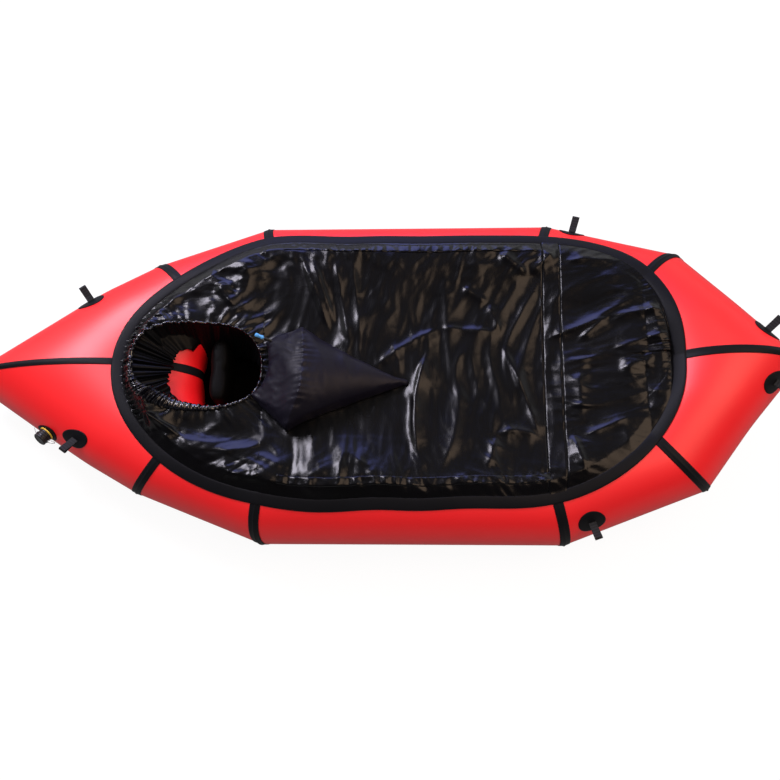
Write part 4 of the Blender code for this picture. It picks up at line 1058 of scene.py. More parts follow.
@dataclass
class Underside:
    """The flat floor, its rising bow panel and the tapes that join them to the tubes."""

    surface: HullSurface
    finishes: Finishes
    seam_deg: float = 247.5
    edge_inset: float = 0.014
    tape_reach: float = 0.034
    tape_width: float = 0.052
    tape_length: float = 2.6
    tape_wall: float = 0.0004
    # the tape's share on the floor, and how far it climbs the tube
    seam_share: float = 0.6
    climb_deg: float = 9.0
    drop: float = 0.0012
    wall: float = 0.0012
    flat_stations: tuple[float, float] = (0.03, 4.0)
    rising_stations: tuple[float, float] = (4.004, 6.97)

    def build(self) -> None:
        """Build the floor's two panels and its two tapes."""
        self._panel("floor_flat", *self.flat_stations, "floor_main")
        self._panel("floor_rising", *self.rising_stations, "floor_bow")
        for side in Side:
            self._tape(side)

    def _edge(self, station: Array, inset: float) -> Array:
        """Return points at the floor's seam, moved inward by an inset in plan.

        Args:
            station: places along the tube from the stern, whole numbers at its rings.
            inset: how far inward, in metres.

        Returns:
            The points, one in each row.
        """
        seam = self.surface.point(station, np.full_like(station, math.radians(self.seam_deg)))
        inward = -self.surface.section(station)[:, 1] * np.array((1.0, 1.0, 0.0))
        inward /= np.linalg.norm(inward, axis=1)[:, None]
        limit = np.maximum(seam[:, 1] / np.maximum(-inward[:, 1], 0.001), 0.0)
        reach = np.minimum(inset, limit * 0.5)
        return seam + reach[:, None] * inward

    def _panel(self, name: str, first: float, last: float, node: str) -> None:
        """Build one floor panel between two stations.

        Args:
            name: the piece's name.
            first: the station it starts at.
            last: the station it ends at.
            node: the CAD node it stands for.
        """

        def shape_at(u: Array, v: Array) -> Pair:
            """Return the floor panel's points.

            Args:
                u: shares along the grid's first direction, 0 to 1.
                v: shares along its second direction, 0 to 1.

            Returns:
                The points, and their places on the flat cloth in metres.
            """
            station = first + v * (last - first)
            edge = self._edge(station, self.edge_inset)
            side = 2.0 * u - 1.0
            sag = 0.0006 * np.sin(edge[:, 0] * 31.0) * np.cos(side * 9.0)
            found = np.stack(
                (edge[:, 0], edge[:, 1] * side, edge[:, 2] + 0.0002 + sag * (1 - side**2)), axis=1
            )
            return found, found[:, :2]

        shape = grid_sheet(48, 160, shape_at, lambda place: Vector(UP))
        item = make_piece(name, shape, self.finishes.floor, replaces=[node])
        give_wall(item, self.wall)

    def _tape(self, side: Side) -> None:
        """Build one floor tape: from the floor's underside over the seam and up the tube a little.

        Args:
            side: the boat's side.
        """
        seam_angle = math.radians(self.seam_deg)
        first, last = self.flat_stations[0], self.rising_stations[1]

        def shape_at(u: Array, v: Array) -> Pair:
            """Return the tape's points.

            Args:
                u: shares along the grid's first direction, 0 to 1.
                v: shares along its second direction, 0 to 1.

            Returns:
                The points, and their places on the flat cloth in metres.
            """
            station = first + v * (last - first)
            inner = self._edge(station, self.tape_reach)
            climb = np.maximum(u - self.seam_share, 0.0) / (1.0 - self.seam_share)
            angle = seam_angle + climb * math.radians(self.climb_deg)
            outer = self.surface.lifted(station, angle, self.drop)
            seam = self._edge(station, 0.0)
            share = np.clip(u / self.seam_share, 0.0, 1.0)[:, None]
            low = (inner * (1 - share) + seam * share) - self.drop * UP
            found = np.where((u > self.seam_share)[:, None], outer, low)
            found[:, 1] = np.maximum(found[:, 1], 0.0003)
            if side is Side.RIGHT:
                found = found * MIRROR
            return found, np.stack((u * self.tape_width, v * self.tape_length), axis=1)

        shape = grid_sheet(10, 240, shape_at, lambda place: Vector(-UP))
        name = f"floor_tape_{side.word}"
        item = make_piece(f"{name}_strip", shape, self.finishes.tape, replaces=[name])
        give_wall(item, self.tape_wall)


@dataclass(frozen=True)
class Crumple:
    """Straight-flanked creases between calm facets, as film-coated cloth takes where it is slack one way."""

    along: float
    across: float
    height: float
    seed: float
    sharpness: float = 2.6

    def noise(self, x: Array, y: Array) -> Array:
        """Return smooth noise from about -0.7 to 0.7 with a lattice step of 1.

        Args:
            x: places in lattice steps.
            y: places across them in lattice steps.

        Returns:
            The noise.
        """
        low_x, low_y = np.floor(x), np.floor(y)
        part_x, part_y = x - low_x, y - low_y
        ease_x, ease_y = (part**3 * (part * (6.0 * part - 15.0) + 10.0) for part in (part_x, part_y))

        def corner(step_x: int, step_y: int) -> Array:
            """Return the noise's value at one corner of each place's lattice square.

            Args:
                step_x: 0 or 1, which corner along x.
                step_y: 0 or 1, which corner along y.

            Returns:
                The values.
            """
            mixed = np.sin(
                (low_x + step_x) * 127.1 + (low_y + step_y) * 311.7 + self.seed * 74.7
            ) * 43758.5453
            turn = (mixed - np.floor(mixed)) * math.tau
            return np.cos(turn) * (part_x - step_x) + np.sin(turn) * (part_y - step_y)

        near = corner(0, 0) * (1 - ease_x) + corner(1, 0) * ease_x
        far = corner(0, 1) * (1 - ease_x) + corner(1, 1) * ease_x
        return near * (1 - ease_y) + far * ease_y

    def height_at(self, along: Array, across: Array) -> Array:
        """Return the creases' height at places along and across their direction.

        Args:
            along: places along the creases in metres.
            across: places across them in metres.

        Returns:
            The heights in metres.
        """
        drift = self.noise(along / self.along * 0.6 + 9.1, across / self.along * 0.6 + 3.7)
        wave = self.noise(along / self.along + drift, across / self.across + 1.6 * drift)
        calm = np.clip(
            0.55 + 1.5 * self.noise(along / self.along * 0.8 + 5.3, across / self.along * 0.8), 0.1, 1.0
        )
        return self.height * calm * np.clip(1.0 - self.sharpness * np.abs(wave), 0.0, 1.0)


@dataclass(frozen=True)
class Fold:
    """One fold of the deck's cloth: a straight-flanked ridge, or a valley where its height is negative."""

    start: tuple[float, float]
    end: tuple[float, float]
    half_width: float
    height: float
    lean: float = 0.0
    bow: float = 0.0

    def height_at(self, x: Array, y: Array) -> Array:
        """Return the fold's height over plan points.

        Args:
            x: places along the boat in metres.
            y: places across the boat in metres.

        Returns:
            The heights in metres.
        """
        run_x, run_y = self.end[0] - self.start[0], self.end[1] - self.start[1]
        length = math.hypot(run_x, run_y)
        run_x, run_y = run_x / length, run_y / length
        along = ((x - self.start[0]) * run_x + (y - self.start[1]) * run_y) / length
        arch = self.bow * 4 * along * (1 - along)
        aside = -(x - self.start[0]) * run_y + (y - self.start[1]) * run_x - arch
        rise = np.clip(along / 0.30, 0.0, 1.0) * np.clip((1.0 - along) / 0.30, 0.0, 1.0)
        rise = rise * rise * (3.0 - 2.0 * rise)
        width = self.half_width * (0.25 + 0.75 * rise) * np.where(aside > 0, 1.0 + self.lean, 1.0 - self.lean)
        ridge = np.exp(-(np.sqrt((aside / width) ** 2 + 0.03) - 0.1732))
        return self.height * ridge * rise


@dataclass
class DeckShape:
    """The deck's plan and height: its oval, its opening and the slack cloth between the tubes."""

    surface: HullSurface
    widest_x: float = -0.172
    turned_deg: float = 0.855
    # the oval in polar form round its middle: a mean radius and its waves' cosine and sine parts, in metres.
    # a scratch program fitted these numbers to the outline in the photograph
    middle_x: float = 0.070
    radius: float = 0.5666
    waves: tuple[tuple[float, float], ...] = (
        (0.0067, -0.0066), (0.1887, 0.0009), (0.0007, 0.0023), (0.0181, 0.0052), (-0.0068, 0.0011),
        (-0.0018, 0.0040), (-0.0063, -0.0006), (0.0009, -0.0004), (-0.0013, 0.0000), (0.0000, -0.0026),
    )
    tape_width: float = 0.031
    tape_lift: float = 0.0032
    cloth_lift: float = 0.0018
    sag: float = 0.034
    crest_deg: float = 98.0
    opening_rear: float = -0.655
    opening_front: float = -0.302
    opening_half_width: float = 0.126
    opening_aside: float = -0.0075
    opening_power: float = 2.5
    rim_lift: float = 0.016
    rim_reach: float = 0.070
    folds: tuple[Fold, ...] = ()

    def __post_init__(self) -> None:
        """Tabulate the tube's crest, where the deck leaves it, and work out the opening's middle."""
        stations = np.linspace(0, self.surface.last, 800)
        crest = self.surface.point(stations, np.full_like(stations, math.radians(self.crest_deg)))
        order = np.argsort(crest[:, 0])
        self.crest_table = crest[order]
        tilt = math.radians(self.turned_deg)
        self.cos, self.sin = math.cos(tilt), math.sin(tilt)
        self.edge_tables: dict[tuple[float, int], Pair] = {}
        ends = self.radius_at(np.array((math.pi, 0.0)))[0]
        self.stern_x, self.bow_x = self.middle_x - ends[0], self.middle_x + ends[1]
        self.mouth_x = (self.opening_rear + self.opening_front) / 2
        self.mouth_reach = self.opening_front - self.mouth_x

    def to_plan(self, p: Array, q: Array) -> Pair:
        """Turn places of the oval's own axes to plan places."""
        reach = p - self.widest_x
        return self.widest_x + reach * self.cos - q * self.sin, reach * self.sin + q * self.cos

    def to_oval(self, x: Array, y: Array) -> Pair:
        """Turn plan places to places of the oval's own axes."""
        reach = x - self.widest_x
        return self.widest_x + reach * self.cos + y * self.sin, -reach * self.sin + y * self.cos

    def radius_at(self, turn: Array) -> Pair:
        """Return the oval's radius at turns round its middle, and how much longer a slanted inset is there.

        Args:
            turn: turns round the middle in radians.

        Returns:
            The radii in metres, and the insets' factors.
        """
        radius, change = np.full_like(turn, self.radius), np.zeros_like(turn)
        for order, (even, odd) in enumerate(self.waves, start=1):
            radius = radius + even * np.cos(order * turn) + odd * np.sin(order * turn)
            change = change + order * (odd * np.cos(order * turn) - even * np.sin(order * turn))
        return radius, np.hypot(1.0, change / radius)

    def outline(self, turn: Array, inset: Array) -> Pair:
        """Return plan places of the oval at turns, drawn in by insets.

        Args:
            turn: turns round the middle in radians.
            inset: how far each place is drawn in, in metres.

        Returns:
            The places along and across the boat.
        """
        radius, slant = self.radius_at(turn)
        reach = radius - inset * slant
        return self.to_plan(self.middle_x + reach * np.cos(turn), reach * np.sin(turn))

    def edge(self, p: Array, inset: float, way: int | Array) -> Array:
        """Return the oval's half width on one side at places along it, drawn in by an inset.

        Args:
            p: places along the deck's oval in metres.
            inset: how far it is drawn in, in metres.
            way: 1 for the left side and -1 for the right.

        Returns:
            The half widths in metres.
        """
        found = []
        for side in (1, -1):
            if (inset, side) not in self.edge_tables:
                turn = np.linspace(math.pi, 0.0, 3000)
                radius, slant = self.radius_at(side * turn)
                reach = radius - inset * slant
                along = np.maximum.accumulate(self.middle_x + reach * np.cos(turn))
                self.edge_tables[inset, side] = along, reach * np.sin(turn)
            found.append(np.interp(p, *self.edge_tables[inset, side], left=0.0, right=0.0))
        return np.where(np.asarray(way) > 0, *found)

    def opening(self, p: Array) -> Array:
        """Return the opening's half width at places along the oval."""
        share = np.clip(np.abs(p - self.mouth_x) / self.mouth_reach, 0.0, 1.0)
        return self.opening_half_width * (1.0 - share**self.opening_power) ** (1 / self.opening_power)

    def rim_distance(self, p: Array, q: Array) -> Array:
        """Return roughly how far places of the oval's axes lie outside the opening's rim.

        Args:
            p: places along the deck's oval in metres.
            q: places across the oval in metres.

        Returns:
            The distances in metres, negative inside the opening.
        """
        reach = np.abs((p - self.mouth_x) / self.mouth_reach) ** self.opening_power
        reach = reach + np.abs((q - self.opening_aside) / self.opening_half_width) ** self.opening_power
        return (reach ** (1 / self.opening_power) - 1.0) * self.opening_half_width

    def rim_turn(self, p: Array, q: Array) -> Array:
        """Return the turn round the opening's middle at places of the oval's axes."""
        return np.arctan2(
            (q - self.opening_aside) / self.opening_half_width, (p - self.mouth_x) / self.mouth_reach
        )

    def smooth_height(self, x: Array, y: Array) -> Array:
        """Return the height of the deck's underside without its folds.

        Args:
            x: places along the boat in metres.
            y: places across the boat in metres.

        Returns:
            The heights in metres.
        """
        p, q = self.to_oval(x, y)
        out = np.abs(y)
        crest = np.interp(x, self.crest_table[:, 0], self.crest_table[:, 1])
        crest = np.maximum(np.minimum(crest, self.edge(p, self.tape_width, np.sign(q)) * 0.96), 0.004)
        crest_height = self.surface.height_over(x, crest, self.cloth_lift)
        across = np.minimum(out / crest, 1.0)
        ahead = np.clip((p - self.stern_x - 0.04) / (self.bow_x - self.stern_x - 0.08), 0.0, 1.0)
        slack = self.sag * np.sin(math.pi * ahead) ** 0.8
        rear_fade = np.clip((self.opening_front - p) / self.rim_reach, 0.0, 1.0)
        away = np.maximum(self.rim_distance(p, q), 0.0) / self.rim_reach
        middle = 1.0 - np.minimum(out / np.maximum(crest, 0.1), 1.0) ** 4
        lift = self.rim_lift * rear_fade * np.exp(-(away**2)) * middle
        lift = lift * smooth_share(self.edge_distance(p, q), 0.004, 0.040)
        tube = self.surface.height_over(x, y, self.cloth_lift)
        inside = crest_height - slack * (1.0 - across**2)
        rounding = 0.010 * (1.0 - across**6) * np.minimum(crest / 0.06, 1.0)
        inside = 0.5 * (inside + tube + np.hypot(inside - tube, rounding))
        return np.where(out < crest, inside, tube) + lift

    def height(self, x: Array, y: Array) -> Array:
        """Return the height of the deck's underside with its folds, never inside the tube.

        Args:
            x: places along the boat in metres.
            y: places across the boat in metres.

        Returns:
            The heights in metres.
        """
        base = self.smooth_height(x, y)
        found = base + self.relief(x, y)
        return np.maximum(found, self.surface.height_over(x, y, self.cloth_lift * 0.6))

    def relief(self, x: Array, y: Array) -> Array:
        """Return the height of all folds and gathers over plan points.

        Args:
            x: places along the boat in metres.
            y: places across the boat in metres.

        Returns:
            The heights in metres.
        """
        p, q = self.to_oval(x, y)
        to_edge = np.maximum(self.edge_distance(p, q), 0.0)
        rim = np.maximum(self.rim_distance(p, q), 0.0)
        turn = self.rim_turn(p, q)
        behind = smooth_share(p, self.opening_front + 0.10, self.opening_front + 0.02)
        ahead = smooth_share(p, 0.44, 0.56)
        total = sum(fold.height_at(x, y) for fold in self.folds)
        total = total + behind * self._crumpled(STERN_CREASES, rim, turn * 0.20)
        edge_turn = np.arctan2(q / 0.40, (p - self.middle_x) / 0.77)
        shoulder = np.exp(-((to_edge / 0.09) ** 2)) * (1.0 - ahead)
        total += shoulder * self._crumpled(SHOULDER_CREASES, to_edge + 0.1 * edge_turn, edge_turn * 0.50)
        lean = (x - 0.05) * 0.20 + 0.10 * np.sin(y * 5.0)
        total += (1 - behind) * (1 - ahead) * self._crumpled(LEG_CREASES, y, x - y * lean)
        total += ahead * self._crumpled(BOW_CREASES, x, y * (1.0 + 0.9 * (0.84 - p)))
        total *= np.clip(to_edge / 0.03, 0.0, 1.0)
        ruffle = np.sin(turn * 46 + 1.7 * np.sin(turn * 7)) + 0.6 * np.sin(
            turn * 71 + 2.0 * np.sin(turn * 5 + 1)
        )
        total += 0.0028 * ruffle * np.exp(-rim / 0.022) * behind
        patchy = np.clip(0.35 + 1.6 * EDGE_GATHERS.noise(edge_turn * 7.0, edge_turn * 0.0), 0.0, 1.0)
        gather = np.sin(edge_turn * 147 + 3.0 * np.sin(edge_turn * 11))
        gather += 0.8 * np.sin(edge_turn * 223 + 4.0 * np.sin(edge_turn * 17))
        stern = smooth_share(p, -0.30, -0.50)
        reach = (0.020 + 0.012 * np.sin(edge_turn * 31)) * (1.0 + 0.5 * stern)
        fade = (1.0 + 0.5 * stern) * np.exp(-to_edge / reach) * np.clip(to_edge / 0.006, 0.0, 1.0)
        total += EDGE_GATHERS.height * gather * fade * (patchy + 0.9 * smooth_share(p, -0.56, -0.66))
        return total

    def _crumpled(self, creases: Sequence[Crumple], along: Array, across: Array) -> Array:
        """Return the summed height of several sizes of creases."""
        return sum(item.height_at(along, across) for item in creases)

    def edge_distance(self, p: Array, q: Array) -> Array:
        """Return roughly how far places of the oval's axes lie inside the tape's inner edge."""
        radius, slant = self.radius_at(np.arctan2(q, p - self.middle_x))
        return (radius - np.hypot(q, p - self.middle_x)) / slant - self.tape_width


EDGE_GATHERS = Crumple(0.1, 0.1, 0.0018, 17.0)
STERN_CREASES = (
    Crumple(0.150, 0.080, 0.0150, 21.0, 1.6),
    Crumple(0.110, 0.044, 0.0065, 3.0, 2.2),
    Crumple(0.060, 0.026, 0.0022, 8.0),
)
SHOULDER_CREASES = (
    Crumple(0.100, 0.060, 0.0110, 41.0, 1.8),
    Crumple(0.060, 0.028, 0.0050, 42.0, 2.2),
    Crumple(0.036, 0.017, 0.0022, 43.0, 1.8),
)
LEG_CREASES = (
    Crumple(0.300, 0.110, 0.0110, 22.0, 1.6),
    Crumple(0.230, 0.060, 0.0060, 1.0, 2.2),
    Crumple(0.120, 0.034, 0.0026, 5.0),
    Crumple(0.050, 0.022, 0.0008, 12.0),
)
BOW_CREASES = (
    Crumple(0.240, 0.110, 0.0110, 23.0, 1.6),
    Crumple(0.170, 0.060, 0.0055, 2.0, 2.2),
    Crumple(0.090, 0.032, 0.0018, 7.0),
    Crumple(0.040, 0.018, 0.0006, 13.0),
)
DECK_FOLDS = (
    # narrow pair beside the ridge of the bladder, far side
    Fold((-0.208, 0.324), (-0.116, 0.089), 0.010, 0.010, 0.4),
    Fold((-0.180, 0.330), (-0.098, 0.100), 0.012, 0.008, -0.3),
    # long upright folds ahead of the bladder
    Fold((-0.111, 0.317), (-0.063, 0.047), 0.014, 0.009, 0.3),
    Fold((-0.060, 0.330), (-0.030, 0.060), 0.016, 0.006, -0.4),
    Fold((0.160, 0.060), (0.130, -0.295), 0.020, 0.016, 0.5, bow=-0.030),
    Fold((0.183, -0.300), (0.236, -0.027), 0.022, 0.008, 0.2, bow=-0.018),
    Fold((0.200, 0.300), (0.215, -0.100), 0.022, 0.005, 0.3),
    # arcs toward the cross strip
    Fold((0.350, 0.075), (0.452, -0.230), 0.016, 0.010, 0.4, bow=0.008),
    Fold((0.303, -0.300), (0.335, -0.205), 0.016, 0.008),
    Fold((0.325, -0.205), (0.452, -0.215), 0.014, 0.008, bow=0.020),
    Fold((0.248, 0.233), (0.325, 0.180), 0.012, 0.007),
    Fold((0.325, 0.185), (0.356, 0.085), 0.012, 0.007),
    # ridge round the soft flat ahead of the bladder
    Fold((0.000, -0.010), (0.190, 0.112), 0.020, 0.010, -0.3, bow=0.010),
    Fold((0.180, 0.112), (0.360, 0.095), 0.016, 0.008, -0.3),
    # triangular facet at the far end of the cross strip
    Fold((0.350, 0.330), (0.440, 0.258), 0.020, 0.013, 0.3),
    Fold((0.520, 0.335), (0.436, 0.258), 0.020, 0.013, -0.3),
    # folds of the front panel
    Fold((0.472, 0.069), (0.647, 0.127), 0.012, 0.007, 0.3),
    Fold((0.560, 0.060), (0.650, 0.130), 0.012, 0.008, -0.3),
    Fold((0.640, 0.125), (0.805, 0.138), 0.012, 0.006),
    Fold((0.640, 0.027), (0.815, 0.070), 0.014, 0.008, 0.3),
    Fold((0.560, -0.210), (0.680, -0.163), 0.012, 0.007),
    Fold((0.530, 0.300), (0.700, 0.298), 0.010, 0.007),
    Fold((0.485, -0.010), (0.600, -0.030), 0.030, 0.006),
    Fold((0.560, -0.020), (0.560, -0.160), 0.022, 0.008),
    Fold((0.660, -0.030), (0.760, 0.000), 0.025, 0.008),
    Fold((0.530, -0.200), (0.560, -0.320), 0.012, 0.010),
    # triangular fold by the opening, far side
    Fold((-0.439, 0.232), (-0.386, 0.158), 0.014, 0.014, 0.4),
    Fold((-0.470, 0.260), (-0.380, 0.200), 0.012, 0.008, -0.3),
    # ridge and flap by the opening, near side
    Fold((-0.668, -0.030), (-0.580, -0.215), 0.011, 0.022, 0.5, bow=0.022),
    Fold((-0.612, -0.148), (-0.500, -0.215), 0.012, 0.020, -0.4),
    Fold((-0.551, -0.254), (-0.441, -0.308), 0.010, 0.008, 0.3),
)


@dataclass
class Deck:
    """The deck's cloth, its tape, strips, hem and the band inside the opening, which is partly painted shade.
    """

    shape: DeckShape
    finishes: Finishes
    strip_rear: float = 0.4705
    strip_front: float = 0.519
    strip_slant: float = 0.0385
    wall: float = 0.0007
    hidden: float = 0.014
    strip_wall: float = 0.0006
    rear_cut: tuple[float, float] = (0.98, 1.35)
    strip_cut: tuple[float, float] = (0.90, 0.08)
    front_cut: tuple[float, float] = (0.90, 0.42)
    band_cut: tuple[float, float] = (0.86, 0.15)

    def build(self) -> None:
        """Build every piece of the deck."""
        hem = self._hem()
        self._skirt()
        main = self._cloth("deck_cloth_rear", self._rear_places(), "deck_main", 80)
        strip_places = np.linspace(self.strip_rear, self.strip_front, 15)
        strip = self._cloth("deck_strip_across", strip_places, "deck_cross_strip", 96, lift=0.0016)
        turns = np.linspace(0.0, math.pi / 2, 90)
        end = self.shape.bow_x - self.hidden - 0.002
        front_places = self.strip_front + (end - self.strip_front) * np.sin(turns)
        front = self._cloth("deck_cloth_front", front_places, "deck_front", 110)
        self._tape()
        sides = [self._side_strip(side) for side in Side]

    def _rear_places(self) -> Array:
        """Return the places along the oval of the rear cloth's rows, closest at the ends and by the opening.

        Returns:
            The places in metres.
        """
        shape = self.shape
        start = shape.stern_x + self.hidden
        tip = start + (shape.opening_rear - start) * (1.0 - np.cos(np.linspace(0, math.pi / 2, 18)))
        turns = np.linspace(math.pi, 0.0, 97)
        mouth = shape.mouth_x + shape.mouth_reach * np.sign(np.cos(turns)) * np.abs(np.cos(turns)) ** 0.8
        ahead = np.linspace(shape.opening_front, self.strip_rear, 168)
        return np.concatenate((tip[:-1], mouth[:-1], ahead))

    def _cloth(
        self, name: str, places: Array, node: str, columns: int, lift: float = 0.0
    ) -> bpy.types.Object:
        """Build one stretch of the deck's cloth from two half grids.

        Args:
            name: the piece's name.
            places: where its rows are, along the oval.
            node: the CAD node it stands for.
            columns: faces from the middle or the opening to the tape.
            lift: how far it lies over the other cloth.

        Returns:
            The piece.
        """
        halves = []
        for side in Side:

            def shape_at(u: Array, v: Array, way: int = side.value) -> Pair:
                """Return the points of one half of the cloth.

                Args:
                    u: shares along the grid's first direction, 0 to 1.
                    v: shares along its second direction, 0 to 1.
                    way: 1 for the left half and -1 for the right.

                Returns:
                    The points, and their places on the flat cloth in metres.
                """
                p = np.interp(v * (len(places) - 1), np.arange(len(places)), places)
                inner = self.shape.opening(p) + way * self.shape.opening_aside
                outer = np.maximum(self.shape.edge(p, self.hidden, way), inner + 0.002)
                q = way * (inner + (outer - inner) * u)
                near_strip = smooth_share(p, 0.20, 0.44) * smooth_share(p, 0.80, 0.55)
                p = p + self.strip_slant * near_strip * q
                outer = np.maximum(self.shape.edge(p, self.hidden, way), inner + 0.002)
                q = way * (inner + (outer - inner) * u)
                x, y = self.shape.to_plan(p, q)
                pressed = 1.0 - 0.9 * np.clip(np.abs(2.0 * v - 1.0) * 7.0 - 6.0, 0.0, 1.0)
                z = self.shape.height(x, y) + lift * pressed
                return np.stack((x, y, z), axis=1), np.stack((x, y), axis=1)

            halves.append(grid_sheet(columns, len(places) - 1, shape_at, lambda place: Vector(UP)))
        item = make_piece(
            name, joined(halves), self.finishes.deck, replaces=[node], sharp_deg=70.0
        )
        give_wall(item, 0.0002 if lift else self.wall)
        return item

    def _tape(self) -> None:
        """Build the broad tape round the deck."""

        def shape_at(u: Array, v: Array) -> Pair:
            """Return the tape's points.

            Args:
                u: shares of the turn round the deck.
                v: shares across the tape.

            Returns:
                The points, and their places on the flat cloth in metres.
            """
            turn = u * math.tau
            inset = v * self.shape.tape_width
            x, y = self.shape.outline(turn, inset)
            edge_drop = 0.0014 * np.exp(-np.minimum(v, 1 - v) / 0.10)
            found = self.shape.surface.on_top(x, y, self.shape.tape_lift - edge_drop)
            return found, np.stack((u * 4.1, inset), axis=1)

        shape = grid_sheet(640, 12, shape_at, lambda place: Vector(UP), join=JOIN)
        item = make_piece("deck_border_tape", shape, self.finishes.tape, replaces=["deck_tape"])
        give_wall(item, self.strip_wall)

    def _side_strip(self, side: Side) -> bpy.types.Object:
        """Build the closing strip along one side.

        Args:
            side: the boat's side.

        Returns:
            The strip.
        """

        def shape_at(u: Array, v: Array) -> Pair:
            """Return the strip's points.

            Args:
                u: shares along the grid's first direction, 0 to 1.
                v: shares along its second direction, 0 to 1.

            Returns:
                The points, and their places on the flat cloth in metres.
            """
            p = -0.250 + v * 0.718
            start, width = (0.004, 0.030) if side is Side.LEFT else (0.026, 0.026)
            q = side.value * (self.shape.edge(p, self.shape.tape_width, side.value) - start - u * width)
            x, y = self.shape.to_plan(p, q)
            crease = 0.0012 * np.sin(p * 190 + 3 * np.sin(p * 23)) * np.sin(math.pi * u)
            pressed = np.clip(8.0 * (1.0 - np.abs(2.0 * u - 1.0)), 0.15, 1.0)
            z = self.shape.height(x, y) + (0.0018 + crease) * pressed
            return np.stack((x, y, z), axis=1), np.stack((u * 0.026, v * 0.718), axis=1)

        shape = grid_sheet(8, 300, shape_at, lambda place: Vector(UP))
        name = f"deck_side_strip_{side.word}"
        item = make_piece(f"{name}_cover", shape, self.finishes.deck, replaces=[name])
        give_wall(item, 0.0004)
        return item

    def _rim(self, turn: Array) -> Triple:
        """Return the rim's places along and across the oval, and its inward directions, at turns.

        Args:
            turn: turns round the middle in radians.

        Returns:
            The places along, the places across, and the directions.
        """
        shape = self.shape
        power = 2 / shape.opening_power
        p = shape.mouth_x + shape.mouth_reach * np.sign(np.cos(turn)) * np.abs(np.cos(turn)) ** power
        aside = shape.opening_half_width * np.sign(np.sin(turn)) * np.abs(np.sin(turn)) ** power
        inward = np.stack((shape.mouth_x - p, -aside), axis=1)
        return p, aside + shape.opening_aside, inward / np.linalg.norm(inward, axis=1)[:, None]

    def _hem(self) -> bpy.types.Object:
        """Build the ruffled hem: a tube of cloth gathered on its elastic, broadest at the right rear.

        Returns:
            The hem.
        """

        def shape_at(u: Array, v: Array) -> Pair:
            """Return the hem's points.

            Args:
                u: shares along the grid's first direction, 0 to 1.
                v: shares along its second direction, 0 to 1.

            Returns:
                The points, and their places on the flat cloth in metres.
            """
            turn = u * math.tau
            p, q, inward = self._rim(turn)
            rim = self.shape.height(*self.shape.to_plan(p, q))
            broad = np.exp(-(((turn - 4.05) / 0.62) ** 2))
            slim = 1.0 - 0.62 * (0.5 + 0.5 * np.cos(turn - 0.75)) ** 2
            around = v * math.tau
            ruffle = np.sin(turn * 97 + 2.4 * np.sin(turn * 9)) + 0.6 * np.sin(
                turn * 61 + 1.8 * np.sin(turn * 6)
            )
            half_width = (0.0050 * slim + 0.0165 * broad) * (1 + 0.10 * ruffle)
            half_height = (0.0050 * slim + 0.0055 * broad) * (1 + (0.22 * slim + 0.24 * broad) * ruffle)
            shift = half_width * np.cos(around) + 0.002 + 0.012 * broad
            x, y = self.shape.to_plan(p + inward[:, 0] * shift, q + inward[:, 1] * shift)
            z = rim + 0.003 + half_height * np.sin(around) - 0.15 * broad * shift
            return np.stack((x, y, z), axis=1), np.stack((u * 0.85, v * 0.06), axis=1)

        shape = grid_sheet(900, 18, shape_at, join=JOIN)
        bmesh.ops.recalc_face_normals(shape, faces=shape.faces)
        return make_piece(
            "cockpit_hem_ruffle", shape, self.finishes.hem, replaces=["cockpit_hem"],
            sharp_deg=80.0
        )

    def _skirt(self) -> None:
        """Build the inner band: it lies on the stern tubes behind and hangs inside the left tube; partly a
        real inner skirt, partly a near-black sheet hung deep where shade falls inside the opening, so painted
        shade.
        """
        # painted shade: how far the band hangs and reaches is set so that its black covers the tube where
        # shade falls inside the opening
        turns = np.array((-3.14159, -2.4, -1.57, -0.8, 0.0, 0.5, 1.1, 1.57, 2.1, 2.6, 3.14159))
        band_and_shade_depths = np.array((0.040, 0.036, 0.022, 0.022, 0.030, 0.110, 0.160, 0.150, 0.130, 0.060, 0.040))
        reaches = np.array((0.106, 0.080, 0.004, 0.003, 0.006, 0.026, 0.040, 0.048, 0.068, 0.095, 0.106))

        def shape_at(u: Array, v: Array) -> Pair:
            """Return the band's points.

            Args:
                u: shares along the grid's first direction, 0 to 1.
                v: shares along its second direction, 0 to 1.

            Returns:
                The points, and their places on the flat cloth in metres.
            """
            turn = (u - 0.5) * math.tau
            p, q, inward = self._rim(turn)
            rim = self.shape.height(*self.shape.to_plan(p, q)) - 0.003
            wave = np.sin(turn * 29 + 1.5 * np.sin(turn * 5)) * 0.0020 * np.sqrt(v)
            shift = 0.003 + np.interp(turn, turns, reaches) * v + wave
            x, y = self.shape.to_plan(p + inward[:, 0] * shift, q + inward[:, 1] * shift)
            hung = rim - np.interp(turn, turns, band_and_shade_depths) * v
            z = np.maximum(hung, self.shape.surface.height_over(x, y, 0.0075) + wave)
            return np.stack((x, y, z), axis=1), np.stack((u * 0.85, v * 0.08), axis=1)

        def inside(place: Vector) -> Vector:
            """Return the direction from a face to the opening's middle.

            Args:
                place: the middle of a face.

            Returns:
                The direction.
            """
            return Vector((-0.48 - place.x, -place.y, 0.35 - place.z))

        # the band's piece: partly a real inner skirt, partly painted shade
        item = make_piece(
            "cockpit_band_and_painted_shade", grid_sheet(360, 30, shape_at, inside, join=JOIN), self.finishes.band,
        )
        give_wall(item, self.strip_wall)


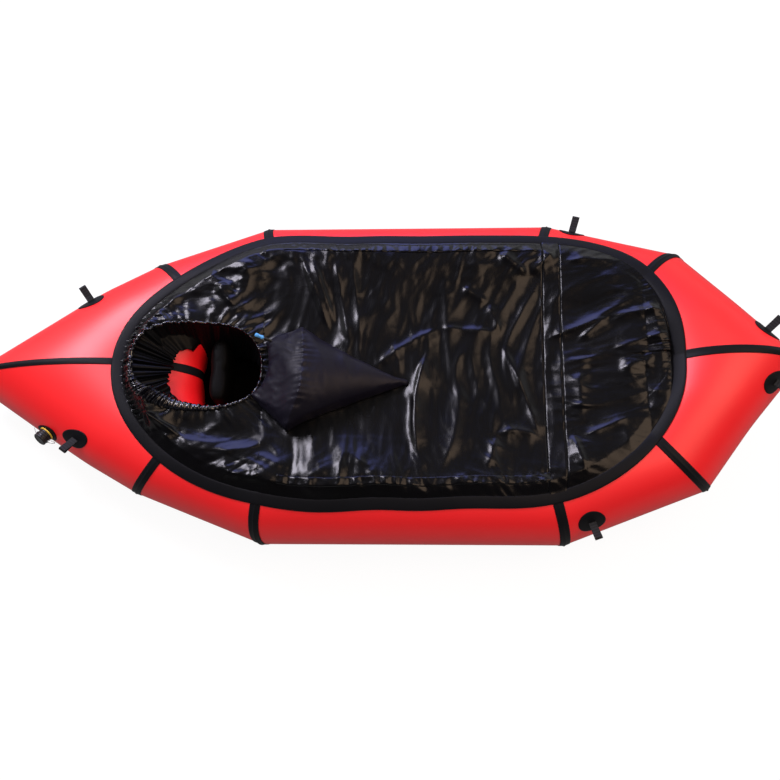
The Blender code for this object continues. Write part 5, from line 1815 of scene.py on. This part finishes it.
@dataclass
class Pad:
    """A closed, air-filled form that is puffed up by a cloth simulation."""

    voxel: float = 0.006
    cap: float = 0.010
    pressure: float = 4.0
    frames: int = 20

    def puff(self, item: bpy.types.Object, keep_below: Callable[[Array], Array] | None = None) -> None:
        """Run the simulation on a piece and keep its result.

        Args:
            item: the piece.
            keep_below: moves points that came too low back up.
        """
        remesh = item.modifiers.new("Even mesh", "REMESH")
        remesh.mode = "VOXEL"
        remesh.voxel_size = self.voxel
        self._apply(item)
        start = np.array([vert.co for vert in item.data.vertices])
        cloth = item.modifiers.new("Air", "CLOTH")
        cloth.settings.quality = 5
        cloth.settings.use_pressure = True
        cloth.settings.uniform_pressure_force = self.pressure
        cloth.settings.effector_weights.gravity = 0.0
        cloth.settings.tension_stiffness = 25.0
        cloth.settings.compression_stiffness = 12.0
        cloth.settings.bending_stiffness = 0.3
        cloth.collision_settings.use_collision = False
        for number in range(1, self.frames + 1):
            bpy.context.scene.frame_set(number)
        self._apply(item)
        bpy.context.scene.frame_set(1)
        ended = np.array([vert.co for vert in item.data.vertices])
        move = ended - start
        length = np.linalg.norm(move, axis=1)
        ended = start + move * np.minimum(1.0, self.cap / np.maximum(length, 1e-9))[:, None]
        if keep_below is not None:
            ended = keep_below(ended)
        item.data.vertices.foreach_set("co", ended.astype(np.float32).ravel())
        item.data.update()
        item.data.shade_smooth()
        finer = item.modifiers.new("Smooth", "SUBSURF")
        finer.levels = 1
        finer.render_levels = 1

    def _apply(self, item: bpy.types.Object) -> None:
        """Replace a piece's mesh with what its modifiers make of it.

        Args:
            item: the piece.
        """
        made = bpy.data.meshes.new_from_object(item.evaluated_get(bpy.context.evaluated_depsgraph_get()))
        materials = list(item.data.materials)
        item.modifiers.clear()
        item.data = made
        made.materials.clear()
        for material in materials:
            made.materials.append(material)


@dataclass
class PeakBladder:
    """The wedge-shaped air bladder that holds the deck up, its filling tube and its blue push valve."""

    deck: DeckShape
    finishes: Finishes
    rear_x: float = -0.288
    ridge_x: float = -0.180
    tip_x: float = 0.100
    rear_shift: float = -0.010
    ridge_shift: float = -0.044
    rear_half_width: float = 0.082
    ridge_half_width: float = 0.150
    tip_half_width: float = 0.008
    rear_height: float = 0.020
    ridge_height: float = 0.105
    tip_height: float = 0.006
    tube_tip: tuple[float, float, float] = (-0.29523, 0.06143, 0.31751)
    tube_axis: tuple[float, float, float] = (-0.85865, 0.21062, 0.46728)
    tube_length: float = 0.034

    def build(self) -> None:
        """Build the bladder, its tube and its mouthpiece."""
        shape = grid_sheet(72, 64, self._skin, join=JOIN)
        close_ends(shape)
        item = make_piece(
            "bladder_cloth", shape, self.finishes.bladder, replaces=["peak_bladder"],
            sharp_deg=80.0
        )
        Pad(voxel=0.005, cap=0.006, pressure=3.0).puff(item, self._seamed)
        self._tube()
        self._mouthpiece()

    def _seamed(self, points: Array) -> Array:
        """Draw in the ridge's seam with its puckers, crease the rear face, and lift points off the deck.

        Args:
            points: the points, one in each row.

        Returns:
            The moved points.
        """
        x, y = points[:, 0], points[:, 1]
        side = np.clip((y - self.ridge_shift) / self.ridge_half_width, -1.0, 1.0)
        bend = 0.046 * np.clip(-side, 0.0, 1.0) ** 2 + 0.012 * np.clip(side, 0.0, 1.0) ** 2
        ahead = x - (self.ridge_x - bend)
        free = np.clip((points[:, 2] - self.deck.height(x, y) - 0.012) / 0.03, 0.0, 1.0)
        pucker = np.sin(y * 310 + 2.0 * np.sin(y * 60)) * np.exp(-np.abs(ahead) / 0.016)
        seam = np.exp(-((ahead / 0.005) ** 2))
        crease = Crumple(
            0.060, 0.022, 0.0042, 31.0, 2.2
        ).height_at(ahead, y) * smooth_share(ahead, 0.0, -0.02)
        points[:, 2] += free * (0.0026 * pucker + 0.0030 * seam + crease)
        return self._on_deck(points)

    def _on_deck(self, points: Array) -> Array:
        """Lift points that came below the deck's cloth.

        Args:
            points: the points, one in each row.

        Returns:
            The moved points.
        """
        low = self.deck.height(points[:, 0], points[:, 1]) + 0.0016
        points[:, 2] = np.maximum(points[:, 2], low)
        return points

    def _section(self, x: Array) -> Triple:
        """Return the half width, height and side shift at places along the bladder.

        Args:
            x: places along the boat in metres.

        Returns:
            The half widths, heights and side shifts in metres.
        """
        back = np.clip((x - self.rear_x) / (self.ridge_x - self.rear_x), 0.0, 1.0)
        ahead = np.clip((x - self.ridge_x) / (self.tip_x - self.ridge_x), 0.0, 1.0)
        shift = self.rear_shift + (self.ridge_shift - self.rear_shift) * back
        width = self.rear_half_width + (self.ridge_half_width - self.rear_half_width) * back
        width = width + (self.tip_half_width - self.ridge_half_width) * ahead**0.80
        height = self.rear_height + (self.ridge_height - self.rear_height) * back**0.9
        height = height + (self.tip_height - self.ridge_height) * ahead
        shift = shift - 0.008 * ahead
        return width, height, shift

    def _skin(self, u: Array, v: Array) -> Pair:
        """Return the bladder's points: across its arch and base, and from its rear to its tip.

        Args:
            u: shares along the grid's first direction, 0 to 1.
            v: shares along its second direction, 0 to 1.

        Returns:
            The points, and their places on the flat cloth in metres.
        """
        x = np.where(
            v < 0.4,
            self.rear_x + (self.ridge_x - self.rear_x) * v / 0.4,
            self.ridge_x + (self.tip_x - self.ridge_x) * (v - 0.4) / 0.6,
        )
        width, height, shift = self._section(x)
        turn = u * math.tau
        arch = u < 0.5
        side = np.where(arch, np.cos(turn), -1.0 + 2.0 * (u - 0.5) / 0.5)
        rise = np.where(arch, np.abs(np.sin(turn)) ** 0.9, 0.0)
        ahead = np.clip((x - self.ridge_x) / (self.tip_x - self.ridge_x), 0.0, 1.0)
        right = np.clip(-side, 0.0, 1.0) * (1.0 - ahead)
        y = shift + side * width * (1.0 + 0.06 * right)
        x = x - 0.046 * right**2 - 0.012 * (1.0 - ahead) * np.clip(side, 0.0, 1.0) ** 2
        base = self.deck.height(x, y) + 0.0018
        return np.stack((x, y, base + rise * height), axis=1), np.stack((u * 0.6, v * 0.4), axis=1)

    def _tube(self) -> None:
        """Build the short filling tube."""
        profile = [
            (0.0, -0.008), (0.0029, -0.008), (0.0029, 0.0), (0.0038, 0.0),
            (0.0038, -self.tube_length),
            (0.0, -self.tube_length),
        ]
        shape = turned(profile, 40)
        matrix = axis_matrix(self.tube_tip, self.tube_axis, UP)
        bmesh.ops.transform(shape, matrix=matrix, verts=shape.verts)
        make_piece("filling_tube", shape, self.finishes.rubber, replaces=["oral_tube"])

    def _mouthpiece(self) -> None:
        """Build the blue push valve with its grip ribs."""
        profile = [
            (0.0, 0.0260), (0.0030, 0.0260), (0.0042, 0.0256), (0.0054, 0.0240), (0.0056, 0.0182),
            (0.0047, 0.0160),
            (0.0047, 0.0146), (0.0052, 0.0140), (0.0047, 0.0134), (0.0047, 0.0118), (0.0052, 0.0112),
            (0.0047, 0.0106), (0.0047, 0.0094), (0.0056, 0.0073), (0.0056, 0.0033), (0.0026, 0.0033),
            (0.0026, -0.003), (0.0, -0.003),
        ]
        shape = turned(profile, 48)
        matrix = axis_matrix(self.tube_tip, self.tube_axis, UP)
        bmesh.ops.transform(shape, matrix=matrix, verts=shape.verts)
        make_piece(
            "push_valve_blue", shape, self.finishes.blue, "mouthpiece", ["mouthpiece"],
            sharp_deg=35.0
        )


@dataclass
class Seat:
    """The inflated seat with its two long channels, and the backrest behind it."""

    finishes: Finishes
    rear_x: float = -0.470
    length: float = 0.430
    half_width: float = 0.178
    height: float = 0.086
    back_rear_x: float = -0.452
    back_depth: float = 0.048
    back_half_width: float = 0.094
    back_height: float = 0.150
    softness: float = 0.003

    def build(self) -> None:
        """Build the seat and the backrest."""
        low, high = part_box("seat_cushion")
        shape = grid_sheet(72, 48, self._seat_skin, join=JOIN)
        close_ends(shape)
        cloth = self.finishes.seat
        item = make_piece("seat_pad", shape, cloth, replaces=["seat_cushion"], sharp_deg=80.0)
        Pad(voxel=0.006, cap=0.006).puff(item, lambda points: self._kept(points, 2, low.z, high.z))
        shape = grid_sheet(56, 36, self._back_skin, join=JOIN)
        close_ends(shape)
        item = make_piece(
            "backrest_pad", shape, self.finishes.seat, "backrest", ["backrest"], sharp_deg=80.0
        )
        foot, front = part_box("backrest")
        Pad(voxel=0.005, cap=0.004).puff(item, lambda points: self._kept(points, 0, -9.0, front.x, foot.z))

    def _kept(self, points: Array, axis: int, low: float, high: float, base: float = -9.0) -> Array:
        """Return a pad's points kept within limits, which leaves room for the backrest to fold.

        Args:
            points: the points.
            axis: the axis that the limits are on.
            low: the lower limit, kept sharply.
            high: the upper limit, which the cloth nears softly.
            base: the lowest height of all.

        Returns:
            The moved points.
        """
        kept = np.array(points)
        kept[:, axis] = high - self.softness * np.log1p(np.exp((high - kept[:, axis]) / self.softness))
        kept[:, axis] = np.maximum(kept[:, axis], low)
        kept[:, 2] = np.maximum(kept[:, 2], base)
        return kept

    def _ring(self, turn: Array, half_width: Array, height: Array, channels: Sequence[float]) -> Pair:
        """Return side and rise round a cushion's cross-section.

        Args:
            turn: turns round the section.
            half_width: its half width.
            height: its height.
            channels: where the sewn channels run, as shares of the half width.

        Returns:
            The side places and the rises.
        """
        across = np.sign(np.cos(turn)) * np.abs(np.cos(turn)) ** 0.6
        dips = sum(np.exp(-(((across - place) / 0.10) ** 2)) for place in channels)
        crown = 0.9 + 0.1 * (1.0 - across**2)
        top = height / 2 * (1 + np.abs(np.sin(turn)) ** 0.6 * crown * (1.0 - 0.20 * dips))
        low = height / 2 * (1.0 - np.minimum(np.abs(np.sin(turn)) ** 0.5 * 1.1, 1.0))
        return across * half_width, np.where(np.sin(turn) >= 0, top, low)

    def _ends(self, share: Array) -> Array:
        """Return how far a cushion's sections are drawn in, by their share of its length."""
        return np.maximum(1.0 - np.abs(2.0 * share - 1.0) ** 12, 0.0) ** 0.5 * 0.94 + 0.06

    def _seat_skin(self, u: Array, v: Array) -> Pair:
        """Return the seat's points.

        Args:
            u: shares along the grid's first direction, 0 to 1.
            v: shares along its second direction, 0 to 1.

        Returns:
            The points, and their places on the flat cloth in metres.
        """
        share = 0.5 - 0.5 * np.cos(math.pi * v)
        drawn = self._ends(share)
        taper = np.maximum(1.0 - share / 0.60, 0.0) ** 1.5
        width = self.half_width * (1.0 - 0.44 * taper) * drawn
        side, rise = self._ring(u * math.tau, width, self.height * drawn, (-0.36, 0.36))
        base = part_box("seat_cushion")[0].z + self.height * (1.0 - drawn) / 2
        found = np.stack((self.rear_x + share * self.length, side, base + rise), axis=1)
        return found, np.stack((u, v * self.length), axis=1)

    def _back_skin(self, u: Array, v: Array) -> Pair:
        """Return the backrest's points.

        Args:
            u: shares along the grid's first direction, 0 to 1.
            v: shares along its second direction, 0 to 1.

        Returns:
            The points, and their places on the flat cloth in metres.
        """
        share = 0.5 - 0.5 * np.cos(math.pi * v)
        drawn = self._ends(share)
        side, rise = self._ring(u * math.tau, self.back_half_width * drawn, self.back_depth * drawn, (0.0,))
        inset = self.back_depth * (1.0 - drawn) / 2
        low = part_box("backrest")[0].z
        found = np.stack((self.back_rear_x + inset + rise, side, low + share * self.back_height), axis=1)
        return found, np.stack((u * 0.4, v * self.back_height), axis=1)


@dataclass(frozen=True)
class Fitting:
    """The place of a patch: station number along the hull, and angle round the tube from its outer side."""

    station: float
    angle_deg: float


@dataclass
class LashingPoints:
    """Round patches, each with a doubled webbing loop."""

    surface: HullSurface
    finishes: Finishes
    radius: float = 0.037
    strap_width: float = 0.020
    strap_wall: float = 0.0014
    length: float = 0.046
    eye_radius: float = 0.0050
    root_half_gap: float = 0.0010
    droop_deg: float = 22.0
    fittings: dict[str, Fitting] = field(
        default_factory=lambda: {
            "stern": Fitting(0.895, 39.0), "side": Fitting(4.20, 35.0), "bow": Fitting(6.55, 41.0)
        }
    )

    def build(self) -> None:
        """Build every patch and loop."""
        for name, fitting in self.fittings.items():
            for side in Side:
                node = f"patch_{name}_{side.word}"
                build_patch(self.surface, self.finishes, f"lashing_{node}", node, fitting, side, self.radius)
                self._loop(name, fitting, side)

    def _profile(self, share: Array) -> Array:
        """Return the strap's middle line as (across, out) by its share from root to root.

        Args:
            share: shares of the strap's length.

        Returns:
            The places across and out, in metres.
        """
        eye = self.length - self.eye_radius
        turns = np.radians(np.linspace(-35.0, 215.0, 31))
        across = np.concatenate(
            (
                (self.root_half_gap, self.root_half_gap, self.root_half_gap),
                self.eye_radius * np.cos(turns),
                (-self.root_half_gap, -self.root_half_gap, -self.root_half_gap),
            )
        )
        out = np.concatenate(
            (
                (-0.0022, 0.006, self.length / 4 + 0.004),
                eye + self.eye_radius * np.sin(turns),
                (self.length / 4 + 0.004, 0.006, -0.0022),
            )
        )
        run = np.concatenate(((0.0,), np.cumsum(np.hypot(np.diff(across), np.diff(out)))))
        return np.stack(
            (np.interp(share * run[-1], run, across), np.interp(share * run[-1], run, out)), axis=1
        )

    def _loop(self, name: str, fitting: Fitting, side: Side) -> None:
        """Build one webbing loop, stitched through near its root.

        Args:
            name: the loop's name.
            fitting: its place on the tube.
            side: the boat's side.
        """
        station, angle = np.array([fitting.station]), np.radians([fitting.angle_deg])
        normal = self.surface.normal(station, angle)[0]
        along = self.surface.slopes(station, angle)[0][0]
        along /= np.linalg.norm(along)
        down = np.cross(along, normal)
        down = down if down[2] < 0 else -down
        droop = math.radians(self.droop_deg)
        direction = math.cos(droop) * normal + math.sin(droop) * down
        root = self.surface.point(station, angle)[0] + normal * 0.0039
        if side is Side.RIGHT:
            root, along, direction = root * MIRROR, along * MIRROR, direction * MIRROR
        matrix = axis_matrix(root, direction, along)

        def shape_at(u: Array, v: Array) -> Pair:
            """Return the strap's points.

            Args:
                u: shares along the grid's first direction, 0 to 1.
                v: shares along its second direction, 0 to 1.

            Returns:
                The points, and their places on the flat cloth in metres.
            """
            line = self._profile(v)
            across = (u - 0.5) * self.strap_width
            found = np.stack((across, line[:, 0], line[:, 1]), axis=1)
            return found, np.stack((across, v * 0.1), axis=1)

        shape = grid_sheet(8, 96, shape_at)
        bmesh.ops.transform(shape, matrix=matrix, verts=shape.verts)
        turn_to(shape, lambda place: place - matrix @ Vector((0.0, 0.0, self.length - self.eye_radius)))
        node = f"loop_{name}_{side.word}"
        item = make_piece(
            f"webbing_{node}", shape, self.finishes.webbing, node, [node], sharp_deg=80.0
        )
        wall = item.modifiers.new("Wall", "SOLIDIFY")
        wall.thickness = self.strap_wall
        wall.offset = 0.0
        soften(item, 0.0004)


def build_patch(
    surface: HullSurface, finishes: Finishes, name: str, node: str, fitting: Fitting, side: Side,
    radius: float
) -> None:
    """Build a round patch that follows the tube.

    Args:
        surface: the hull's surface.
        finishes: the boat's materials.
        name: the piece's name.
        node: the CAD node it stands for.
        fitting: its place.
        side: the boat's side.
        radius: its radius.
    """
    angle = math.radians(fitting.angle_deg)
    along, around = surface.slopes(np.array([fitting.station]), np.array([angle]))
    per_along, per_around = np.linalg.norm(along), np.linalg.norm(around)

    def shape_at(u: Array, v: Array) -> Pair:
        """Return the patch's points.

        Args:
            u: shares of the turn round its middle.
            v: shares of its radius.

        Returns:
            The points, and their places on the flat cloth in metres.
        """
        reach = radius * v
        a, b = reach * np.cos(u * math.tau), reach * np.sin(u * math.tau)
        edge = PATCH_LIFT - 0.0005 * np.clip((v - 0.93) / 0.07, 0.0, 1.0)
        found = surface.lifted(fitting.station + a / per_along, angle + b / per_around, edge)
        if side is Side.RIGHT:
            found = found * MIRROR
        return found, np.stack((a, b), axis=1)

    normal = surface.normal(np.array([fitting.station]), np.array([angle]))[0]
    if side is Side.RIGHT:
        normal = normal * MIRROR
    shape = grid_sheet(72, 14, shape_at, lambda place: Vector(normal), join=JOIN)
    give_wall(make_piece(name, shape, finishes.tape, replaces=[node]), PATCH_WALL)


@dataclass
class MainValve:
    """The main inflation valve on the right of the stern."""

    surface: HullSurface
    finishes: Finishes
    fitting: Fitting = Fitting(0.708, 18.0)
    flange_radius: float = 0.034
    ring_radius: float = 0.0215
    ring_height: float = 0.0035
    body_radius: float = 0.0190
    body_height: float = 0.0120
    bore_radius: float = 0.0110
    collar_radius: float = 0.0205
    collar_height: float = 0.0018
    cap_radius: float = 0.0195
    cap_height: float = 0.0110

    def build(self) -> None:
        """Build the flange, ring, body, collar with its tethers, and cap."""
        cloth, node = "valve_flange_cloth", "valve_flange"
        build_patch(self.surface, self.finishes, cloth, node, self.fitting, Side.RIGHT, self.flange_radius)
        station, angle = np.array([self.fitting.station]), np.radians([self.fitting.angle_deg])
        normal = self.surface.normal(station, angle)[0] * MIRROR
        along = self.surface.slopes(station, angle)[0][0] * MIRROR
        base = self.surface.point(station, angle)[0] * MIRROR + normal * 0.0019
        matrix = axis_matrix(base, normal, along)
        low = self.ring_height + 0.0003
        high = low + self.body_height
        collar_low = high + 0.0003
        cap_low = collar_low + self.collar_height + 0.0003
        radius = self.body_radius
        ring = [
            (self.ring_radius - 0.0012, self.ring_height),
            (self.ring_radius, self.ring_height * 0.66),
            (self.ring_radius, 0.0),
            (self.bore_radius, 0.0),
            (self.bore_radius, self.ring_height),
        ]
        self._turned("valve_base_ring", ring, matrix, self.finishes.yellow, "raft", "valve_ring")
        body = [
            (self.bore_radius, high),
            (radius * 0.92, high),
            (radius, high - 0.0010),
            (radius, high - 0.0040),
            (radius * 0.92, high - 0.0048),
            (radius * 0.92, high - 0.0064),
            (radius, high - 0.0072),
            (radius, low),
            (0.0, low),
            (0.0, high - 0.0090),
            (self.bore_radius, high - 0.0090),
        ]
        self._turned("valve_seat_body", body, matrix, self.finishes.black, "raft", "valve_body")
        collar = [
            (self.collar_radius, collar_low + self.collar_height),
            (self.collar_radius, collar_low),
            (0.0150, collar_low),
            (0.0150, collar_low + self.collar_height),
        ]
        self._turned(
            "valve_tether_ring", collar, matrix, self.finishes.black, "valve_collar",
            "valve_collar"
        )
        for number, way in enumerate((-1.0, 1.0)):
            self._tether(number, way, collar_low + self.collar_height / 2, matrix)
        self._cap(cap_low, matrix)

    def _turned(
        self,
        name: str,
        profile: Sequence[tuple[float, float]],
        matrix: Matrix,
        material: bpy.types.Material,
        body: str,
        node: str,
    ) -> None:
        """Build one turned piece of the valve.

        Args:
            name: the piece's name.
            profile: its profile.
            matrix: its place.
            material: its material.
            body: the CAD body it rides on.
            node: the CAD node it stands for.
        """
        shape = turned(profile, 72)
        bmesh.ops.transform(shape, matrix=matrix, verts=shape.verts)
        item = make_piece(name, shape, material, body, [node], sharp_deg=30.0)
        soften(item, 0.0003)

    def _cap(self, low: float, matrix: Matrix) -> None:
        """Build the screw cap with its grip ribs.

        Args:
            low: the height of its lower edge in metres.
            matrix: the fitting's place and direction.
        """
        radius, high = self.cap_radius, low + self.cap_height
        plug = self.bore_radius - 0.0020
        profile = [
            (0.0, high - 0.0012),
            (radius * 0.70, high - 0.0012),
            (radius * 0.76, high),
            (radius * 0.88, high),
            (radius, high - 0.0020),
            (radius, high - 0.0046),
            (radius - 0.0013, high - 0.0055),
            (radius - 0.0013, high - 0.0068),
            (radius, high - 0.0077),
            (radius, low),
            (plug, low),
            (plug, low - 0.0070),
            (0.0, low - 0.0070),
        ]
        shape = turned(profile, 96)
        for vert in shape.verts:
            reach = math.hypot(vert.co.x, vert.co.y)
            if reach > radius * 0.95 and vert.co.z > low + 0.0005:
                turn = math.atan2(vert.co.y, vert.co.x)
                grip = 1.0 - 0.022 * (0.5 + 0.5 * math.cos(turn * 24))
                vert.co.x *= grip
                vert.co.y *= grip
        bmesh.ops.transform(shape, matrix=matrix, verts=shape.verts)
        black, node = self.finishes.black, "valve_cap"
        make_piece("valve_screw_cap", shape, black, node, [node], sharp_deg=30.0)

    def _tether(self, number: int, way: float, height: float, matrix: Matrix) -> None:
        """Build one clear strap loop at the tether ring's tab.

        Args:
            number: its number in its name.
            way: 1 or -1, the side of the valve.
            height: the tab's height in metres.
            matrix: the fitting's place and direction.
        """
        shape = bmesh.new()
        bmesh.ops.create_circle(shape, segments=14, radius=0.0010)
        bmesh.ops.rotate(shape, verts=shape.verts, matrix=Matrix.Rotation(math.pi / 2, 3, "X"))
        bmesh.ops.translate(shape, verts=shape.verts, vec=(0.0075, 0.0, 0.0))
        bmesh.ops.spin(
            shape,
            geom=shape.verts[:] + shape.edges[:],
            cent=(0.0, 0.0, 0.0),
            axis=(0.0, 0.0, 1.0),
            angle=math.tau,
            steps=48,
            use_merge=True,
        )
        bmesh.ops.remove_doubles(shape, verts=shape.verts, dist=0.00001)
        bmesh.ops.recalc_face_normals(shape, faces=shape.faces)
        bmesh.ops.scale(shape, verts=shape.verts, vec=(1.35, 0.8, 1.0))
        bmesh.ops.rotate(shape, verts=shape.verts, matrix=Matrix.Rotation(way * 0.5, 3, "Y"))
        bmesh.ops.translate(
            shape, verts=shape.verts, vec=(way * (self.collar_radius + 0.0085), 0.0, height - 0.003)
        )
        bmesh.ops.transform(shape, matrix=matrix, verts=shape.verts)
        make_piece(f"valve_tether_{number + 1}", shape, self.finishes.clear, "valve_collar")


def studio_rays(tree: bpy.types.NodeTree) -> tuple[bpy.types.NodeSocket, ...]:
    """Tell the rays that see the studio white from those that it lights softly.

    Args:
        tree: the node tree of the floor or the surround.

    Returns:
        Whether a ray is the camera's own, whether it is mirrored or let through, and whether it is either.
    """
    rays = add_node(tree, "ShaderNodeLightPath")
    direct, glossy, through = (
        rays.outputs[f"Is {kind} Ray"] for kind in ("Camera", "Glossy", "Transmission")
    )
    mirrored = add_node(
        tree, "ShaderNodeMath", links={0: glossy, 1: through}, operation="MAXIMUM"
    ).outputs["Value"]
    shown = add_node(
        tree, "ShaderNodeMath", links={0: mirrored, 1: direct}, operation="MAXIMUM"
    ).outputs["Value"]
    return direct, mirrored, shown


@dataclass
class Studio:
    """The camera at the photograph's place, the pale floor, the lamps and the white surround."""

    eye: tuple[float, float, float] = (0.0613, -0.8343, 2.542)
    yaw_deg: float = -0.9545
    pitch_deg: float = 71.59
    roll_deg: float = -0.822
    focal_px: float = 879.06
    frame_px: float = 780.0
    centre_down_px: float = 2.2
    sensor_mm: float = 36.0
    floor_radius: float = 14.0
    floor_drop: float = 0.0006
    aim: tuple[float, float, float] = (0.0, 0.0, 0.3)

    def build(self) -> None:
        """Set up camera, floor, lamps and world."""
        self._camera()
        self._floor()
        self._lamps()
        self._world()
        bpy.context.scene.view_settings.view_transform = "Standard"

    def _camera(self) -> None:
        """Place the camera."""
        yaw, pitch, roll = (math.radians(a) for a in (self.yaw_deg, self.pitch_deg, self.roll_deg))
        ahead = Vector((math.sin(yaw) * math.cos(pitch), math.cos(yaw) * math.cos(pitch), -math.sin(pitch)))
        right = Vector((math.cos(yaw), -math.sin(yaw), 0.0))
        upward = right.cross(ahead)
        right, upward = (
            math.cos(roll) * right + math.sin(roll) * upward,
            -math.sin(roll) * right + math.cos(roll) * upward
        )
        data = bpy.data.cameras.new("photo_camera")
        data.sensor_width = self.sensor_mm
        data.lens = self.focal_px / self.frame_px * self.sensor_mm
        data.shift_y = self.centre_down_px / self.frame_px
        data.clip_start = 0.05
        data.clip_end = 60.0
        camera = bpy.data.objects.new("photo_camera", data)
        bpy.context.scene.collection.objects.link(camera)
        matrix = Matrix((right, upward, -ahead)).transposed().to_4x4()
        matrix.translation = Vector(self.eye)
        camera.matrix_world = matrix
        bpy.context.scene.camera = camera

    def _floor(self) -> None:
        """Make the pale floor, which shows white to the camera and keeps the boat's shadow."""
        shape = bmesh.new()
        bmesh.ops.create_circle(shape, cap_ends=True, segments=96, radius=self.floor_radius)
        mesh = bpy.data.meshes.new("studio_floor")
        shape.to_mesh(mesh)
        shape.free()
        floor = bpy.data.objects.new("studio_floor", mesh)
        floor.location.z = -self.floor_drop
        bpy.context.scene.collection.objects.link(floor)
        made = bpy.data.materials.new("studio_floor_white")
        made.use_nodes = True
        tree = made.node_tree
        tree.nodes.clear()
        _, mirrored, shown = studio_rays(tree)
        dimmed = add_node(tree, "ShaderNodeMath", {1: -0.72}, {0: mirrored}, operation="MULTIPLY")
        strength = add_node(tree, "ShaderNodeMath", {1: 0.92}, {0: dimmed.outputs["Value"]}, operation="ADD")
        paper = add_node(tree, "ShaderNodeBsdfDiffuse", {"Color": linear("#949494")})
        shaded = add_node(tree, "ShaderNodeBsdfDiffuse", {"Color": linear("#5c5c5c")})
        white = add_node(tree, "ShaderNodeEmission", links={"Strength": strength.outputs["Value"]})
        bright = add_node(
            tree, "ShaderNodeAddShader", links={0: shaded.outputs["BSDF"], 1: white.outputs["Emission"]}
        )
        mixed = add_node(
            tree,
            "ShaderNodeMixShader",
            links={0: shown, 1: paper.outputs["BSDF"], 2: bright.outputs["Shader"]},
        )
        add_node(tree, "ShaderNodeOutputMaterial", links={"Surface": mixed.outputs["Shader"]})
        mesh.materials.append(made)

    def _lamps(self) -> None:
        """Hang the soft lamps: the key far left, a cool one beyond the boat and a warm one by the bow."""
        self._lamp("key_softbox", (-1.75, 1.5, 2.4), 1.0, 76.0, "#f3eeff")
        self._lamp("cool_panel", (-0.4, 2.9, 1.6), 1.8, 38.0, "#8490ff")
        self._lamp("warm_panel", (1.8, -0.3, 2.9), 2.3, 38.0, "#ffdcbc")

    def _lamp(
        self, name: str, place: tuple[float, float, float], size: float, watts: float, colour: str
    ) -> None:
        """Hang one square softbox.

        Args:
            name: its name.
            place: where it hangs.
            size: its side in metres.
            watts: its power.
            colour: its light's colour.
        """
        data = bpy.data.lights.new(name, "AREA")
        data.shape = "SQUARE"
        data.size = size
        data.energy = watts
        data.color = linear(colour)[:3]
        lamp = bpy.data.objects.new(name, data)
        lamp.location = place
        lamp.rotation_euler = (Vector(self.aim) - Vector(place)).to_track_quat("-Z", "Y").to_euler()
        bpy.context.scene.collection.objects.link(lamp)

    def _world(self) -> None:
        """Light the surround softly, and show it white behind the boat under a dark ceiling."""
        world = bpy.data.worlds.new("studio_surround")
        world.use_nodes = True
        tree = world.node_tree
        tree.nodes.clear()
        direct, mirrored, shown = studio_rays(tree)
        place = add_node(tree, "ShaderNodeTexCoord")
        parts = add_node(tree, "ShaderNodeSeparateXYZ", links={"Vector": place.outputs["Generated"]})

        # strengths by part and axis: from and to, and the strengths there
        grades = {
            ("sky", "Z"): (0.0, 0.9, 0.22, 1.15),
            ("sky", "Y"): (-0.8, 0.8, 0.48, 1.15),
            ("walls", "Z"): (0.12, 0.80, 0.90, 0.08),
            ("walls", "Y"): (-0.4, 0.6, 0.05, 1.10),
        }
        ends = ("From Min", "From Max", "To Min", "To Max")
        changes = {}
        for (part, axis), numbers in grades.items():
            height = {"Value": parts.outputs[axis]}
            change = add_node(
                tree, "ShaderNodeMapRange", dict(zip(ends, numbers)), height, interpolation_type="SMOOTHSTEP"
            )
            changes[part, axis] = change.outputs["Result"]
        sky, walls = (
            add_node(
                tree, "ShaderNodeMath", links={0: changes[part, "Z"], 1: changes[part, "Y"]},
                operation="MULTIPLY"
            ).outputs["Value"]
            for part in ("sky", "walls")
        )
        backdrop = add_node(
            tree,
            "ShaderNodeMath",
            links={0: mirrored, 1: walls, 2: direct},
            operation="MULTIPLY_ADD",
        )
        soft = add_node(tree, "ShaderNodeBackground", {"Color": linear("#ffffff")}, {"Strength": sky})
        white = add_node(
            tree, "ShaderNodeBackground", {"Color": linear("#ffffff")},
            {"Strength": backdrop.outputs["Value"]}
        )
        mixed = add_node(
            tree,
            "ShaderNodeMixShader",
            links={0: shown, 1: soft.outputs["Background"], 2: white.outputs["Background"]},
        )
        add_node(tree, "ShaderNodeOutputWorld", links={"Surface": mixed.outputs["Shader"]})
        bpy.context.scene.world = world


def write_sizes() -> None:
    """Update the view layer."""
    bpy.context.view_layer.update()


def main() -> None:
    """Build the boat's pieces in order, then the studio."""
    logging.basicConfig(level=logging.INFO, format="%(name)s %(message)s")
    finishes = Finishes()
    surface = HullSurface()
    deck_shape = DeckShape(surface, folds=DECK_FOLDS)
    HullTube(surface, finishes).build()
    Underside(surface, finishes).build()
    Deck(deck_shape, finishes).build()
    PeakBladder(deck_shape, finishes).build()
    Seat(finishes).build()
    LashingPoints(surface, finishes).build()
    MainValve(surface, finishes).build()
    Studio().build()
    write_sizes()


if __name__ == "__main__":
    main()
